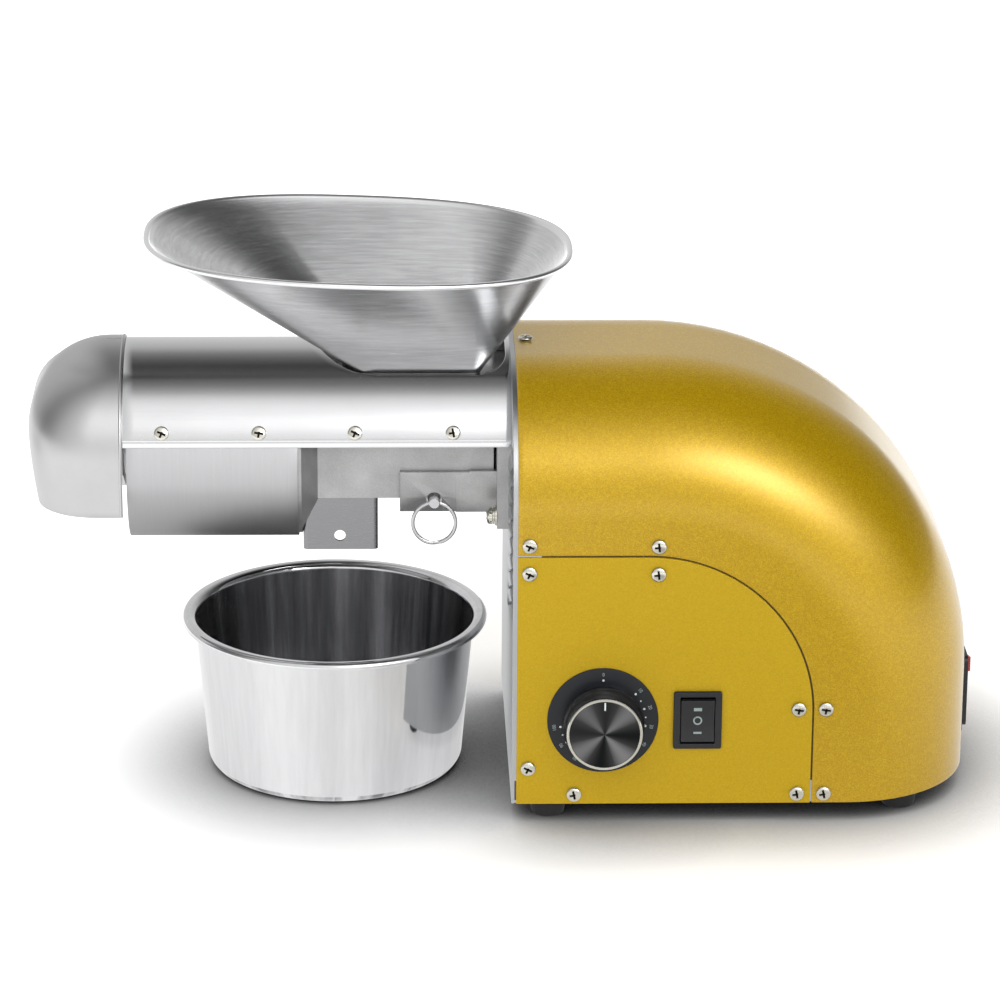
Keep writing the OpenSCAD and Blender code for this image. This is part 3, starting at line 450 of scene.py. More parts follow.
# %% Cast metal and dark sheet
def blasted(dark, light, rough, pit=1.4, depth=0.05, shaded_above=None):
    """The last argument is a height in mm above which the skin is painted near black, as the shade
    inside the cover.
    """

    def varied(net):
        place = net.millimetres()
        pits = net.noise(place, pit, 3, 0.6)
        clouds = net.noise(place, 0.06, 4)
        tone = (0.45 * pits + 0.55 * clouds).part(0.3, 0.7)
        colour = net.mix(tone, dark, light)
        if shaded_above:
            # painted shade: the casting is near black inside the cover
            (height,) = net.axes(place, "z")
            cover_shade = height.part(shaded_above, shaded_above + 4)
            colour = net.mix(cover_shade, colour, (0.015, 0.014, 0.013))
        return {
            "Base Color": colour,
            "Roughness": rough + 0.12 * (pits - 0.5),
            "Normal": net.bump(pits, depth),
        }

    return varied


for name, metallic, varied in (
    ("casting", 0.7, blasted(grey(0.36), grey(0.58), 0.42)),
    ("chamber_casting", 0.7, blasted(grey(0.36), grey(0.58), 0.42, shaded_above=200)),
    ("dark_steel", 0.6, blasted((0.05, 0.05, 0.055), (0.09, 0.09, 0.095), 0.5, 0.8, 0.02)),
    ("motor_paint", 0.2, blasted((0.05, 0.052, 0.056), (0.10, 0.10, 0.11), 0.45, 0.7, 0.03)),
):
    finish(name, {"Metallic": metallic}, varied)
winding = blasted((0.45, 0.17, 0.06), (0.72, 0.33, 0.15), 0.35, 2.0, 0.2)
finish("copper", {"Metallic": 0.9, "Coat Weight": 0.4}, winding)

# %% [markdown]
# ## Plastics, rubber and printed marks
# Moulded plastic has a very fine spark-eroded texture, and rubber a coarser, duller one.
# The dial plate is black enamel on metal, and the printed marks are a thin pale ink.

# %% Moulded and printed finishes
def moulded(colour, rough, texture=3.0, depth=0.01, spread=0.35):
    def varied(net):
        place = net.millimetres()
        fine = net.noise(place, texture, 2)
        broad = net.noise(place, 0.05, 3)
        lift = [min(1, c * (1 + spread) + 0.006) for c in colour]
        return {
            "Base Color": net.mix((0.5 * fine + 0.5 * broad).part(0.3, 0.7), colour, lift),
            "Roughness": rough + 0.14 * (fine - 0.5),
            "Normal": net.bump(fine, depth),
        }

    return varied


for name, fixed, varied in (
    ("black_plastic", {"Specular IOR Level": 0.45}, moulded((0.012, 0.012, 0.014), 0.42)),
    ("knob_black", {"Specular IOR Level": 0.5, "Coat Weight": 0.2}, moulded(grey(0.008), 0.3)),
    ("foot_rubber", {"Specular IOR Level": 0.3}, moulded(grey(0.014), 0.65, 1.2, 0.04)),
    ("red_plastic", {"Coat Weight": 0.3}, moulded((0.42, 0.012, 0.010), 0.28)),
    ("capacitor_shell", {}, moulded((0.62, 0.62, 0.60), 0.35)),
    ("board", {}, moulded((0.012, 0.085, 0.03), 0.4, 0.8, 0.02, 0.6)),
    ("pale_ink", {}, moulded((0.72, 0.78, 0.77), 0.5, 2.0, 0.004, 0.15)),
    ("grey_ink", {}, moulded((0.30, 0.37, 0.36), 0.5, 2.0, 0.004, 0.15)),
):
    finish(name, fixed, varied)
enamel = {"Metallic": 0.0, "Coat Weight": 0.15, "Coat Roughness": 0.25, "Specular IOR Level": 0.35}
finish("dial_black", enamel, moulded((0.007, 0.008, 0.011), 0.4, 1.5))

# %% [markdown]
# The knob's face is black metal spun on a lathe. The tool leaves rings finer than the eye
# sees, and they fan each reflection out into light and dark sectors. The rings are a bump
# on the distance from the middle, and light and dark sectors painted round the disc, darker near
# its middle, are a painted reflection that helps them.

# %% Spun black face
dial_at = (44.5, -93.0, 57.0)


def spun(net):
    middle = at(dial_at)
    place = net.millimetres(shift=[-1000 * c for c in middle])
    x, z = net.axes(place, "xz")
    radius = (x * x + z * z) ** 0.5
    angle = x.call("ARCTAN2", z)
    # painted reflection: light and dark sectors round the disc, darker near its middle
    sectors = (4 * angle - 1.9).call("SINE") * 0.5 + 0.5
    second = (3 * angle + 0.6).call("SINE") * 0.5 + 0.5
    tone = (0.75 * sectors + 0.25 * second).call("MULTIPLY", radius.part(0.0, 3.0) * 0.3 + 0.7)
    rings = net.noise_along(radius, 3.2, 3)
    dark, light = (0.006, 0.007, 0.007), (0.24, 0.24, 0.245)
    colour = net.ramp(tone, [(0.0, dark), (0.5, grey(0.05)), (1.0, light)])
    return {"Base Color": colour, "Roughness": 0.3 + 0.1 * rings, "Normal": net.bump(rings, 0.02)}


finish("spun_black", {"Metallic": 0.9}, spun)
print(len(finishes), "finishes")

# %% Mesh helpers
def grid_faces(rows, columns, wrap=False):
    """Faces of a grid of points, stored row by row. wrap joins the last column to the first."""
    faces = []
    for i in range(rows - 1):
        here, above = i * columns, (i + 1) * columns
        for j in range(columns if wrap else columns - 1):
            k = (j + 1) % columns
            faces.append((here + j, here + k, above + k, above + j))
    return faces


def tube_faces(rings, sides, first=0):
    """Faces of a tube with closed ends, whose rings of points are stored from first on."""
    last = first + (rings - 1) * sides
    walls = [tuple(first + v for v in f) for f in grid_faces(rings, sides, wrap=True)]
    return walls + [tuple(range(first, first + sides)), tuple(reversed(range(last, last + sides)))]


def add_solid(points, faces, more_points, more_faces):
    """Adds one more solid to the points and faces of a piece."""
    faces += [tuple(len(points) + v for v in f) for f in more_faces]
    points += more_points


def arc(middle, radius, start, end, steps=6):
    """Points on an arc in a plane, from one angle in degrees to another."""
    turns = [math.radians(start + (end - start) * k / steps) for k in range(steps + 1)]
    return [(middle[0] + radius * math.cos(t), middle[1] + radius * math.sin(t)) for t in turns]


def new_object(name, points, faces):
    mesh = bpy.data.meshes.new(name)
    mesh.from_pydata([at(p) for p in points], [], faces)
    return add_object(name, mesh)


@contextmanager
def reshaping(mesh):
    """Opens a mesh for editing and writes the result back into it."""
    work = bmesh.new()
    work.from_mesh(mesh)
    yield work
    work.to_mesh(mesh)
    work.free()


def settle(piece):
    """Applies the piece's modifiers and removes them."""
    graph = bpy.context.evaluated_depsgraph_get()
    graph.update()
    mesh = bpy.data.meshes.new_from_object(piece.evaluated_get(graph))
    piece.modifiers.clear()
    old, piece.data = piece.data, mesh
    mesh.name = piece.name
    bpy.data.meshes.remove(old)


def add_modifier(piece, kind, **settings):
    modifier = piece.modifiers.new(kind.title(), kind)
    for key, value in settings.items():
        setattr(modifier, key, value)


def hand_over(piece, material, body, stands_for=(), crease=35, slot=None, even=False):
    """Finishes a piece: modifiers applied, doubles merged, faces outwards, smooth with creases."""
    settle(piece)
    with reshaping(piece.data) as work:
        bmesh.ops.remove_doubles(work, verts=work.verts, dist=2e-6)
        bmesh.ops.dissolve_degenerate(work, edges=work.edges, dist=1e-6)
        if work.calc_volume(signed=True) < 0:
            bmesh.ops.reverse_faces(work, faces=work.faces)
    piece.data.shade_smooth()
    piece.data.set_sharp_from_angle(angle=math.radians(crease))
    piece.data.materials.clear()
    piece.data.materials.append(finishes[material])
    if even:
        add_modifier(piece, "WEIGHTED_NORMAL", keep_sharp=True, weight=100)
        settle(piece)
    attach(piece, body)
    if stands_for:
        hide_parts(*stands_for)
    print(f"{piece.name}: {len(piece.data.polygons)} faces")
    return piece


def turned(profile, steps):
    """A turned part about its own Z axis, from (radius, height) points, as a closed skin."""
    turns = [2 * math.pi * k / steps for k in range(steps)]
    points = [(r * math.cos(t), r * math.sin(t), h) for r, h in profile for t in turns]
    return points, grid_faces(len(profile), steps, wrap=True)


def soft_edges(piece, width, sharp, **settings):
    """A bevel of a width in mm along the edges that are sharper than an angle in degrees."""
    limits = {"limit_method": "ANGLE", "angle_limit": math.radians(sharp)}
    add_modifier(piece, "BEVEL", width=width / 1000, **limits, **settings)


def thick_shell(piece, sheet, edge):
    """Gives an open sheet its thickness inwards and breaks its cut edges."""
    with reshaping(piece.data) as work:
        middle = sum((v.co for v in work.verts), Vector()) / len(work.verts)
        outwards = 0
        for face in work.faces:
            outwards += face.normal.dot(face.calc_center_median() - middle) * face.calc_area()
        if outwards < 0:
            bmesh.ops.reverse_faces(work, faces=work.faces)
    add_modifier(piece, "SOLIDIFY", thickness=sheet / 1000, offset=-1, use_even_offset=True)
    soft_edges(piece, edge, 50, segments=2)

# %% [markdown]
# ## The CAD parts that stay
# Folded, cast and moulded parts have the right shape already. Real ones have no knife
# edges, though, and a soft edge is what catches the light. Each part is copied, its loose
# triangles are joined, flat areas become single faces and a small bevel runs along the
# sharp edges. The copy then stands for its CAD node.

# %% Softened CAD parts
slot_of = {part["node"]: part["material_slot"] for part in frame["record"]["subparts"]}
nodes_of = frame["record"]["behaviour"]["bodies"]
body_of = {node: body for body, nodes in nodes_of.items() for node in nodes}


def soften(node, edge=0.3, material=None, segments=2):
    """A copy of a CAD part with bevelled edges; with edge 0 it only gets its finish."""
    slot = slot_of[node]
    piece = add_object(node + "_part", cad[node].data.copy())
    with reshaping(piece.data) as work:
        bmesh.ops.remove_doubles(work, verts=work.verts, dist=2e-6)
        flat = math.radians(0.6)
        bmesh.ops.dissolve_limit(work, angle_limit=flat, verts=work.verts, edges=work.edges)
    if edge:
        soft_edges(piece, edge, 38, segments=segments, loop_slide=True)
    crease, even = (48, True) if edge else (35, False)
    return hand_over(piece, material or slot, body_of[node], [node], crease, slot, even)

# %% [markdown]
# ## The housing skin
# The housing is one sheet that is bent over a big round end and rolled over both
# shoulders. Its shape follows a rule: the same half-round section slides along the top,
# swings round the end and drops to the base. Geometry Nodes can write that rule on a plain
# grid: one index walks along the path, the other round the section, and each goes through
# three stretches of one unit. The stretches keep their own lengths, so every bend starts
# exactly on a grid line.

# %% Housing skin by rule
def group(name, numbers):
    """A geometry tree with named number inputs: its net, and the wires of its inputs."""
    tree = bpy.data.node_groups.new(name, "GeometryNodeTree")
    for way in ("INPUT", "OUTPUT"):
        tree.interface.new_socket("Geometry", in_out=way, socket_type="NodeSocketGeometry")
    for label, value in numbers.items():
        number = tree.interface.new_socket(label, in_out="INPUT", socket_type="NodeSocketFloat")
        number.default_value = value
    net = Net(tree)
    entry = tree.nodes.new("NodeGroupInput")
    return net, {s.name: Wire(net, s) for s in entry.outputs if s.name}


def deliver(net, geometry, material):
    """Gives the geometry its material and makes it the tree's output."""
    sockets = {"Geometry": geometry, "Material": finishes[material]}
    done = net.add("GeometryNodeSetMaterial", {}, sockets)
    net.feed(net.tree.nodes.new("NodeGroupOutput").inputs[0], done)


def run_tree(piece, net, numbers={}):
    """Puts a geometry tree on a piece, with some of its number inputs changed."""
    modifier = piece.modifiers.new(piece.name, "NODES")
    modifier.node_group = net.tree
    for item in net.tree.interface.items_tree:
        if item.in_out == "INPUT" and item.name in numbers:
            modifier[item.identifier] = float(numbers[item.name])


net, size = group("Housing skin", {
    "Top length": 69.5, "Axis height": 64.0, "Core": 103.0, "Shoulder": 67.0,
    "Flat": 26.0, "Foot": 10.0, "Panel radius": 87.0, "Panel back": 2.5, "Panel drop": 4.0,
})
rows, columns = 3 * 24, 6 * 16
counts = {"Size X": 1.0, "Size Y": 1.0, "Vertices X": rows + 1, "Vertices Y": columns + 1}
sheet = net.add("GeometryNodeMeshGrid", {}, counts)
along, across = net.axes(net.add("GeometryNodeInputPosition"), "xy")
u = 3 * (along + 0.5)                   # 0..1 top, 1..2 round end, 2..3 down
w = 6 * across                          # -3..3, with 0 on the middle line
v = w.call("ABSOLUTE")
side = w.call("SIGN")
turn = (u - 1).part(0, 1) * (math.pi / 2)
roll_angle = (v - 1).part(0, 1) * (math.pi / 2)
back, drop, panel = size["Panel back"], size["Panel drop"], size["Panel radius"]
lean = back * turn.call("SINE") + drop * turn.call("COSINE")
edge = (panel * panel + lean * lean - back * back - drop * drop) ** 0.5 - lean
inwards = (v - 2).part(0, 1) * (size["Core"] - edge)
reach = size["Core"] + size["Shoulder"] * roll_angle.call("COSINE") - inwards
half = size["Flat"] * v.part(0, 1) + size["Shoulder"] * roll_angle.call("SINE")
base_x = size["Top length"] * u.part(0, 1)
base_z = size["Axis height"] - (size["Axis height"] - size["Foot"]) * (u - 2).part(0, 1)
spot = net.vector(
    (base_x + reach * turn.call("SINE")) / 1000 + mouth_x,
    half * side / 1000 + barrel_y,
    (base_z + reach * turn.call("COSINE")) / 1000,
)
moved = net.add("GeometryNodeSetPosition", {}, {"Geometry": sheet, "Position": spot})
deliver(net, moved, "gold_paint")
skin = new_object("housing_skin", [], [])
run_tree(skin, net)
settle(skin)

# the round end is open where the power inlet sits, a little less than its flange covers
inlet_middle, inlet_half, round_end = at((0, 0, 40.3)), (14.6, 21.4), 172
window = []
with reshaping(skin.data) as work:
    for face in work.faces:
        off = (face.calc_center_median() - inlet_middle) * 1000
        if off.x > round_end and abs(off.y) < inlet_half[0] and abs(off.z) < inlet_half[1]:
            window.append(face)
    bmesh.ops.delete(work, geom=window, context="FACES")
print("inlet window takes", len(window), "faces")
thick_shell(skin, 1.8, 0.35)
hand_over(skin, "gold_paint", "machine", ["housing_shell"], slot="gold_paint")

# %% [markdown]
# Behind the seam round each side panel the shell steps inwards, so that the panel lies
# flush and its screws have something to bite into. The step is a flat band that follows
# the panel's outline: straight, round the corner and straight again. It is painted near black, as
# the shade in the seam gap.

# %% Lips behind the panels
corner_x, corner_z = 67.0, 60.0
band_start, band_foot, band_radii, band_sheet = 12.4, 22.4, (73, 96), 1.2


def panel_band(name, side_y):
    """A flat band along a side panel's outline, between two distances from the panel's arc."""
    walk = [((x, corner_z), (0.0, 1.0)) for x in (band_start, 40.0, corner_x)]
    for a in np.radians(np.arange(5, 90, 5)):
        walk.append(((corner_x, corner_z), (math.sin(a), math.cos(a))))
    walk += [((corner_x, z), (1.0, 0.0)) for z in (corner_z, 40.0, band_foot)]
    points, faces, n = [], [], len(walk)
    for y in (side_y, side_y + band_sheet):
        for (x, z), (dx, dz) in walk:
            points += [(x + r * dx, y, z + r * dz) for r in band_radii]
    for a in range(0, 2 * n - 2, 2):
        b = a + 2 * n
        faces += [(a, a + 1, a + 3, a + 2), (b, b + 2, b + 3, b + 1)]
        faces += [(a, a + 2, b + 2, b), (a + 1, b + 1, b + 3, a + 3)]
    faces += [(0, 2 * n, 2 * n + 1, 1), (2 * n - 2, 2 * n - 1, 4 * n - 1, 4 * n - 2)]
    hand_over(new_object(name, points, faces), "painted_seam_shade", "machine")


panel_band("front_lip", -91.2)
panel_band("rear_lip", 90.0)

# %% [markdown]
# ## Rolled sheets round the barrel
# The polished cover over the barrel and the brushed guard under it are parts of two
# cylinders. The cover has a long opening for the hopper's neck, round at its far end. The
# rows run at fixed angles, and each row inside the opening simply stops at its edge, so
# the cut is exact and the rest of the surface stays an even grid that reflects cleanly.

# %% Cover and guard
def on_barrel(x, angle, radius):
    a = math.radians(angle)
    return (x, radius * math.cos(a), barrel_z + radius * math.sin(a))


cover_r = 1000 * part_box("top_cover")[1].z - barrel_z
cover_end, cover_mouth, cover_low = -203.0, -2.4, 15.3
slot_left, slot_right, slot_half, slot_corner = -103, -5, 30.4, 14.0


def slot_ends(y):
    """Where the opening starts and ends along the barrel, at a distance from its middle."""
    left = slot_left + slot_half - math.sqrt(max(0, slot_half**2 - y * y))
    past = max(0, abs(y) - (slot_half - slot_corner))
    return left, slot_right - slot_corner + math.sqrt(max(0, slot_corner**2 - past * past))


# rows by their angle in degrees, evenly up to the opening, over it and down again
slot_angle = math.degrees(math.acos(slot_half / cover_r))
angles = sorted(
    set(np.round(np.linspace(cover_low, slot_angle, 22), 4))
    | set(np.round(np.linspace(slot_angle, 180 - slot_angle, 49), 4))
    | set(np.round(np.linspace(180 - slot_angle, 180 - cover_low, 22), 4))
)
points, faces = [], []
split = {"left": 20, "middle": 10, "right": 5}
for angle in angles:
    start, stop = slot_ends(cover_r * math.cos(math.radians(angle)))
    row = list(np.linspace(cover_end, start, split["left"] + 1))
    row += list(np.linspace(start, stop, split["middle"] + 1))[1:-1]
    row += list(np.linspace(stop, cover_mouth, split["right"] + 1))
    points += [on_barrel(x, angle, cover_r) for x in row]
width = len(points) // len(angles)
for i in range(len(angles) - 1):
    inside = slot_angle - 0.01 < angles[i] and angles[i + 1] < 180 - slot_angle + 0.01
    for j in range(width - 1):
        if inside and split["left"] <= j < split["left"] + split["middle"]:
            continue
        a = i * width + j
        faces.append((a, a + 1, a + width + 1, a + width))
cover = new_object("barrel_cover", points, faces)
with reshaping(cover.data) as work:
    loose = [v for v in work.verts if not v.link_faces]
    bmesh.ops.delete(work, geom=loose, context="VERTS")
thick_shell(cover, 1.2, 0.25)
hand_over(cover, "polished_steel", "machine", ["top_cover"], slot="polished_steel")

guard_turn, guard_reach = np.linspace(152, 388, 119), np.linspace(-201, -112.7, 16)
points = [on_barrel(x, angle, cover_r - 1.2) for angle in guard_turn for x in guard_reach]
guard = new_object("barrel_guard", points, grid_faces(len(guard_turn), len(guard_reach)))
thick_shell(guard, 1.2, 0.2)
hand_over(guard, "guard_steel", "machine", ["lower_guard"], slot="brushed_steel")

# the cover's lower edges are hemmed: a narrow fold stands just inside each
fold = [(1.1, 16.0), (0.45, 16.0), (0.45, 12.3), (0.6, 12.0), (0.95, 12.0), (1.1, 12.3)]
points, faces = [], []
for way in (1, -1):
    faces += tube_faces(2, len(fold), len(points))
    for x in (cover_end + 0.4, cover_mouth - 0.3):
        for depth, angle in fold:
            points.append(on_barrel(x, angle if way > 0 else 180 - angle, cover_r - depth))
hem = new_object("cover_hem", points, faces)
hand_over(hem, "polished_steel", "machine", slot="polished_steel")

# %% [markdown]
# ## The end cap
# The cap is pressed from one sheet: an arch over the barrel whose closed end is rounded in
# plan and from the side. It can be stacked from level outlines. Each level is a U with two
# round corners, and its half width and its nose follow two arcs, so the levels blend into
# a soft dome.

# %% End cap
cap_r, cap_low, cap_mouth = cover_r + 1, 154.5, -203.0
cap_tip = 1000 * (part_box("end_cap")[0].x - mouth_x)
crown_r = 40.5
crown_x, crown_z = cap_tip + crown_r, barrel_z + cap_r - crown_r


def cap_outline(z, corner_steps=14, side_steps=8):
    half = cap_r if z <= barrel_z else math.sqrt(max(0.0, cap_r**2 - (z - barrel_z) ** 2))
    if z <= crown_z:
        nose = cap_tip + 4 * ((crown_z - z) / 37) ** 1.5
    else:
        nose = crown_x - math.sqrt(max(0.0, crown_r**2 - (z - crown_z) ** 2))
    r = min(32.0, half, cap_mouth - nose)
    side = [(x, half) for x in np.linspace(cap_mouth, nose + r, side_steps + 1)[:-1]]
    side += arc((nose + r, half - r), r, 90, 180, corner_steps)
    half_n = [(nose, y) for y in np.linspace(half - r, 0, 7)[1:-1]]
    loop = side + half_n + [(nose, 0.0)]
    return loop + [(x, -y) for x, y in reversed(loop[:-1])]


levels = list(np.linspace(cap_low, barrel_z, 10))
levels += [barrel_z + cap_r * math.sin(math.radians(a)) for a in np.linspace(0, 90, 41)[1:]]
levels[-1] = barrel_z + cap_r - 1e-4
outlines = [cap_outline(z) for z in levels]
points = [(x, y, z) for z, loop in zip(levels, outlines) for x, y in loop]
cap = new_object("pressed_cap", points, grid_faces(len(levels), len(outlines[0])))
with reshaping(cap.data) as work:
    bmesh.ops.remove_doubles(work, verts=work.verts, dist=3e-5)
thick_shell(cap, 1.2, 0.3)
hand_over(cap, "satin_steel", "cap", ["end_cap"], slot="satin_steel", crease=50)

# a thin rolled bead stiffens the cap's open edge
leg = np.linspace(cap_low + 0.6, barrel_z, 12)
walk = [(-cap_r, z) for z in leg[:-1]]
for a in np.radians(np.linspace(180, 0, 97)):
    walk.append((cap_r * math.cos(a), barrel_z + cap_r * math.sin(a)))
walk += [(cap_r, z) for z in leg[-2::-1]]
points, sides = [], 12
for y, z in walk:
    out = Vector((0, y, max(0.0, z - barrel_z))).normalized()
    for j in range(sides):
        a = 2 * math.pi * j / sides
        away, along = 0.75 * math.cos(a) - 0.35, 0.8 * math.sin(a)
        points.append((cap_mouth - 1.0 + along, y + away * out.y, z + away * out.z))
bead = new_object("cap_bead", points, tube_faces(len(walk), sides))
hand_over(bead, "satin_steel", "cap", slot="satin_steel", crease=60)

# %% [markdown]
# ## The hopper
# The hopper leads from a tilted oval rim down to a rectangular neck. A sheet like that
# is made of straight lines: each line joins a place on the rim to a place on the neck. The
# four sides of the neck serve the flatter stretches of the rim and its four small corners
# serve the tight ones, which is why real hoppers show a crease that fans out from each
# corner. The whole wall, the curled lip and the inside are one closed strip of rows.

# %% Hopper
lip, wall, columns, oval = 2.6, 1.0, 288, 2.48      # oval 2 would be an ellipse
neck_x, neck_y, neck_low, neck_corner = (-80.6, -18.1), slot_half - 2, 205.3, 3.5


def rim_point(t, inset, height):
    """A place on the rim's oval, moved inwards and up from the rim's own plane."""
    c, s = math.cos(t), math.sin(t)
    x = (rim_half[0] - inset) * math.copysign(abs(c) ** (2 / oval), c)
    y = (rim_half[1] - inset) * math.copysign(abs(s) ** (2 / oval), s)
    return (
        rim_middle[0] + x * math.cos(rim_fall) + height * math.sin(rim_fall),
        y,
        rim_middle[2] - x * math.sin(rim_fall) + height * math.cos(rim_fall),
    )


def rim_turn(x):
    """The turn round the oval at which the wall's top reaches a given x."""
    c = (x - rim_middle[0]) / (rim_half[0] - lip)
    return math.acos(math.copysign(abs(c) ** (oval / 2), c))


# the neck's half with y above 0: the rim turn that each of its corners serves, and its place
end_turn = math.asin((24 / (rim_half[1] - lip)) ** (oval / 2))
(nx0, nx1), r = neck_x, neck_corner
half_neck = [
    (0.0, (nx1, 0.0)), (end_turn, (nx1, neck_y - r)),
    (rim_turn(-19.0), (nx1 - r, neck_y)), (rim_turn(-136.0), (nx0 + r, neck_y)),
    (math.pi - end_turn, (nx0, neck_y - r)), (math.pi, (nx0, 0.0)),
]
inwards = {0: (-1, 0), 2: (0, -1), 4: (1, 0)}


def neck_point(t, inset):
    """The place on the neck that the line from the rim's turn t runs to."""
    back = t > math.pi
    t = 2 * math.pi - t if back else t
    k = next(k for k in range(5) if t <= half_neck[k + 1][0] + 1e-9)
    (t0, p0), (t1, p1) = half_neck[k], half_neck[k + 1]
    f = (t - t0) / (t1 - t0)
    if k in inwards:
        x, y = (a + f * (b - a) + inset * way for a, b, way in zip(p0, p1, inwards[k]))
    else:
        a = math.radians((0 if k == 1 else 90) + 90 * f)
        x = (nx1 - r if k == 1 else nx0 + r) + (r - inset) * math.cos(a)
        y = neck_y - r + (r - inset) * math.sin(a)
    return (x, -y if back else y)


def ruled(low, top, steps=14):
    """Points on the straight line between two places."""
    return [tuple(a + (b - a) * (k / steps) for a, b in zip(low, top)) for k in range(steps + 1)]


# the curled lip from outside to inside, as distances inwards and up from the rim's plane
curl = [(2.3, -1.75), (2.0, -2.5), (1.5, -2.95), (0.9, -2.95), (0.35, -2.6)]
curl += [(0.05, -2.0), (0.0, -1.4)]
for a in np.radians(np.linspace(18, 90, 5)):
    curl.append((1.4 - 1.4 * math.cos(a), -1.4 + 1.4 * math.sin(a)))
curl += [(2.1, -0.1), (2.8, -0.55), (3.2, -1.1)]
points = []
for t in (2 * math.pi * k / columns for k in range(columns)):
    outer, inner = neck_point(t, 0.0), neck_point(t, wall)
    inner_top = (*inner, neck_top - 0.4)
    strip = [(*outer, z) for z in (neck_low, neck_low + 9, neck_top)]
    strip += ruled((*outer, neck_top), rim_point(t, lip, -1.55))[1:]
    strip += [rim_point(t, inset, height) for inset, height in curl]
    strip += ruled(inner_top, rim_point(t, lip + 1.0, -1.7))[:0:-1]
    strip += [inner_top, (*inner, neck_low + 9), (*inner, neck_low), (*outer, neck_low)]
    points += strip
depth = len(strip)
faces = []
for here in range(0, columns * depth, depth):
    beside = (here + depth) % (columns * depth)
    faces += [(here + j, here + j + 1, beside + j + 1, beside + j) for j in range(depth - 1)]
hopper = new_object("oval_hopper", points, faces)
hand_over(hopper, "hopper_steel", "hopper", ["hopper"], crease=28, slot="brushed_steel")

# %% [markdown]
# ## The bowl
# The bowl is spun from one disc. A profile of its wall, with a round base corner and a rim
# that rolls over, is turned about its own axis. Wall and inside are one profile, so the
# edge is never a bare sheet end.

# %% Bowl
base, flare, curl = (bowl_r - 21, 8.0), (bowl_r - 3.8, bowl_h - 4), (bowl_r - 2.5, bowl_h - 2.5)
profile = [(0.01, 0.5), (40.0, 0.5), (44.0, 0.0)]
profile += arc(base, 8, -90, 0, 12) + arc(flare, 3, 180, 90, 8) + arc(curl, 1.5, 90, -30, 8)
profile += arc(curl, 2.5, -30, 90, 14) + arc(flare, 4, 90, 180, 10) + arc(base, 7, 0, -90, 12)
profile += [(44.0, 1.0), (40.0, 1.5), (0.01, 1.5)]
long = []
for (r0, z0), (r1, z1) in zip(profile, profile[1:]):
    cuts = max(1, round(math.hypot(r1 - r0, z1 - z0) / 9))
    long += [(r0 + (r1 - r0) * k / cuts, z0 + (z1 - z0) * k / cuts) for k in range(cuts)]
points, faces = turned(long + [profile[-1]], 192)
points = [(x + bowl_at[0], y + bowl_at[1], z) for x, y, z in points]
bowl = new_object("spun_bowl", points, faces)
hand_over(bowl, "mirror_steel", "bowl", ["oil_bowl"], crease=40, slot="polished_steel")

# %% [markdown]
# ## Screws and feet
# The same pan head screw closes every seam, so one Geometry Nodes tree makes a screw once
# and sets it on a list of places. A head is a flat dome on a rim with a cross cut into it,
# and an attribute called sunk tells its material how deep in the cross a point lies. The
# places carry the direction that each screw faces, and the tree turns a copy to it. The
# copies are made real before the result is baked, because instances don't survive export.

# %% Screws by Geometry Nodes
def scatter(net, size, solid, material, **sockets):
    """Sets real copies of a solid on the points that come into the tree."""
    places = net.add("GeometryNodeMeshToPoints", {}, {"Mesh": size["Geometry"]})
    sockets = {"Points": places, "Instance": solid, **sockets}
    copies = net.add("GeometryNodeInstanceOnPoints", {}, sockets)
    deliver(net, net.add("GeometryNodeRealizeInstances", {}, {"Geometry": copies}), material)


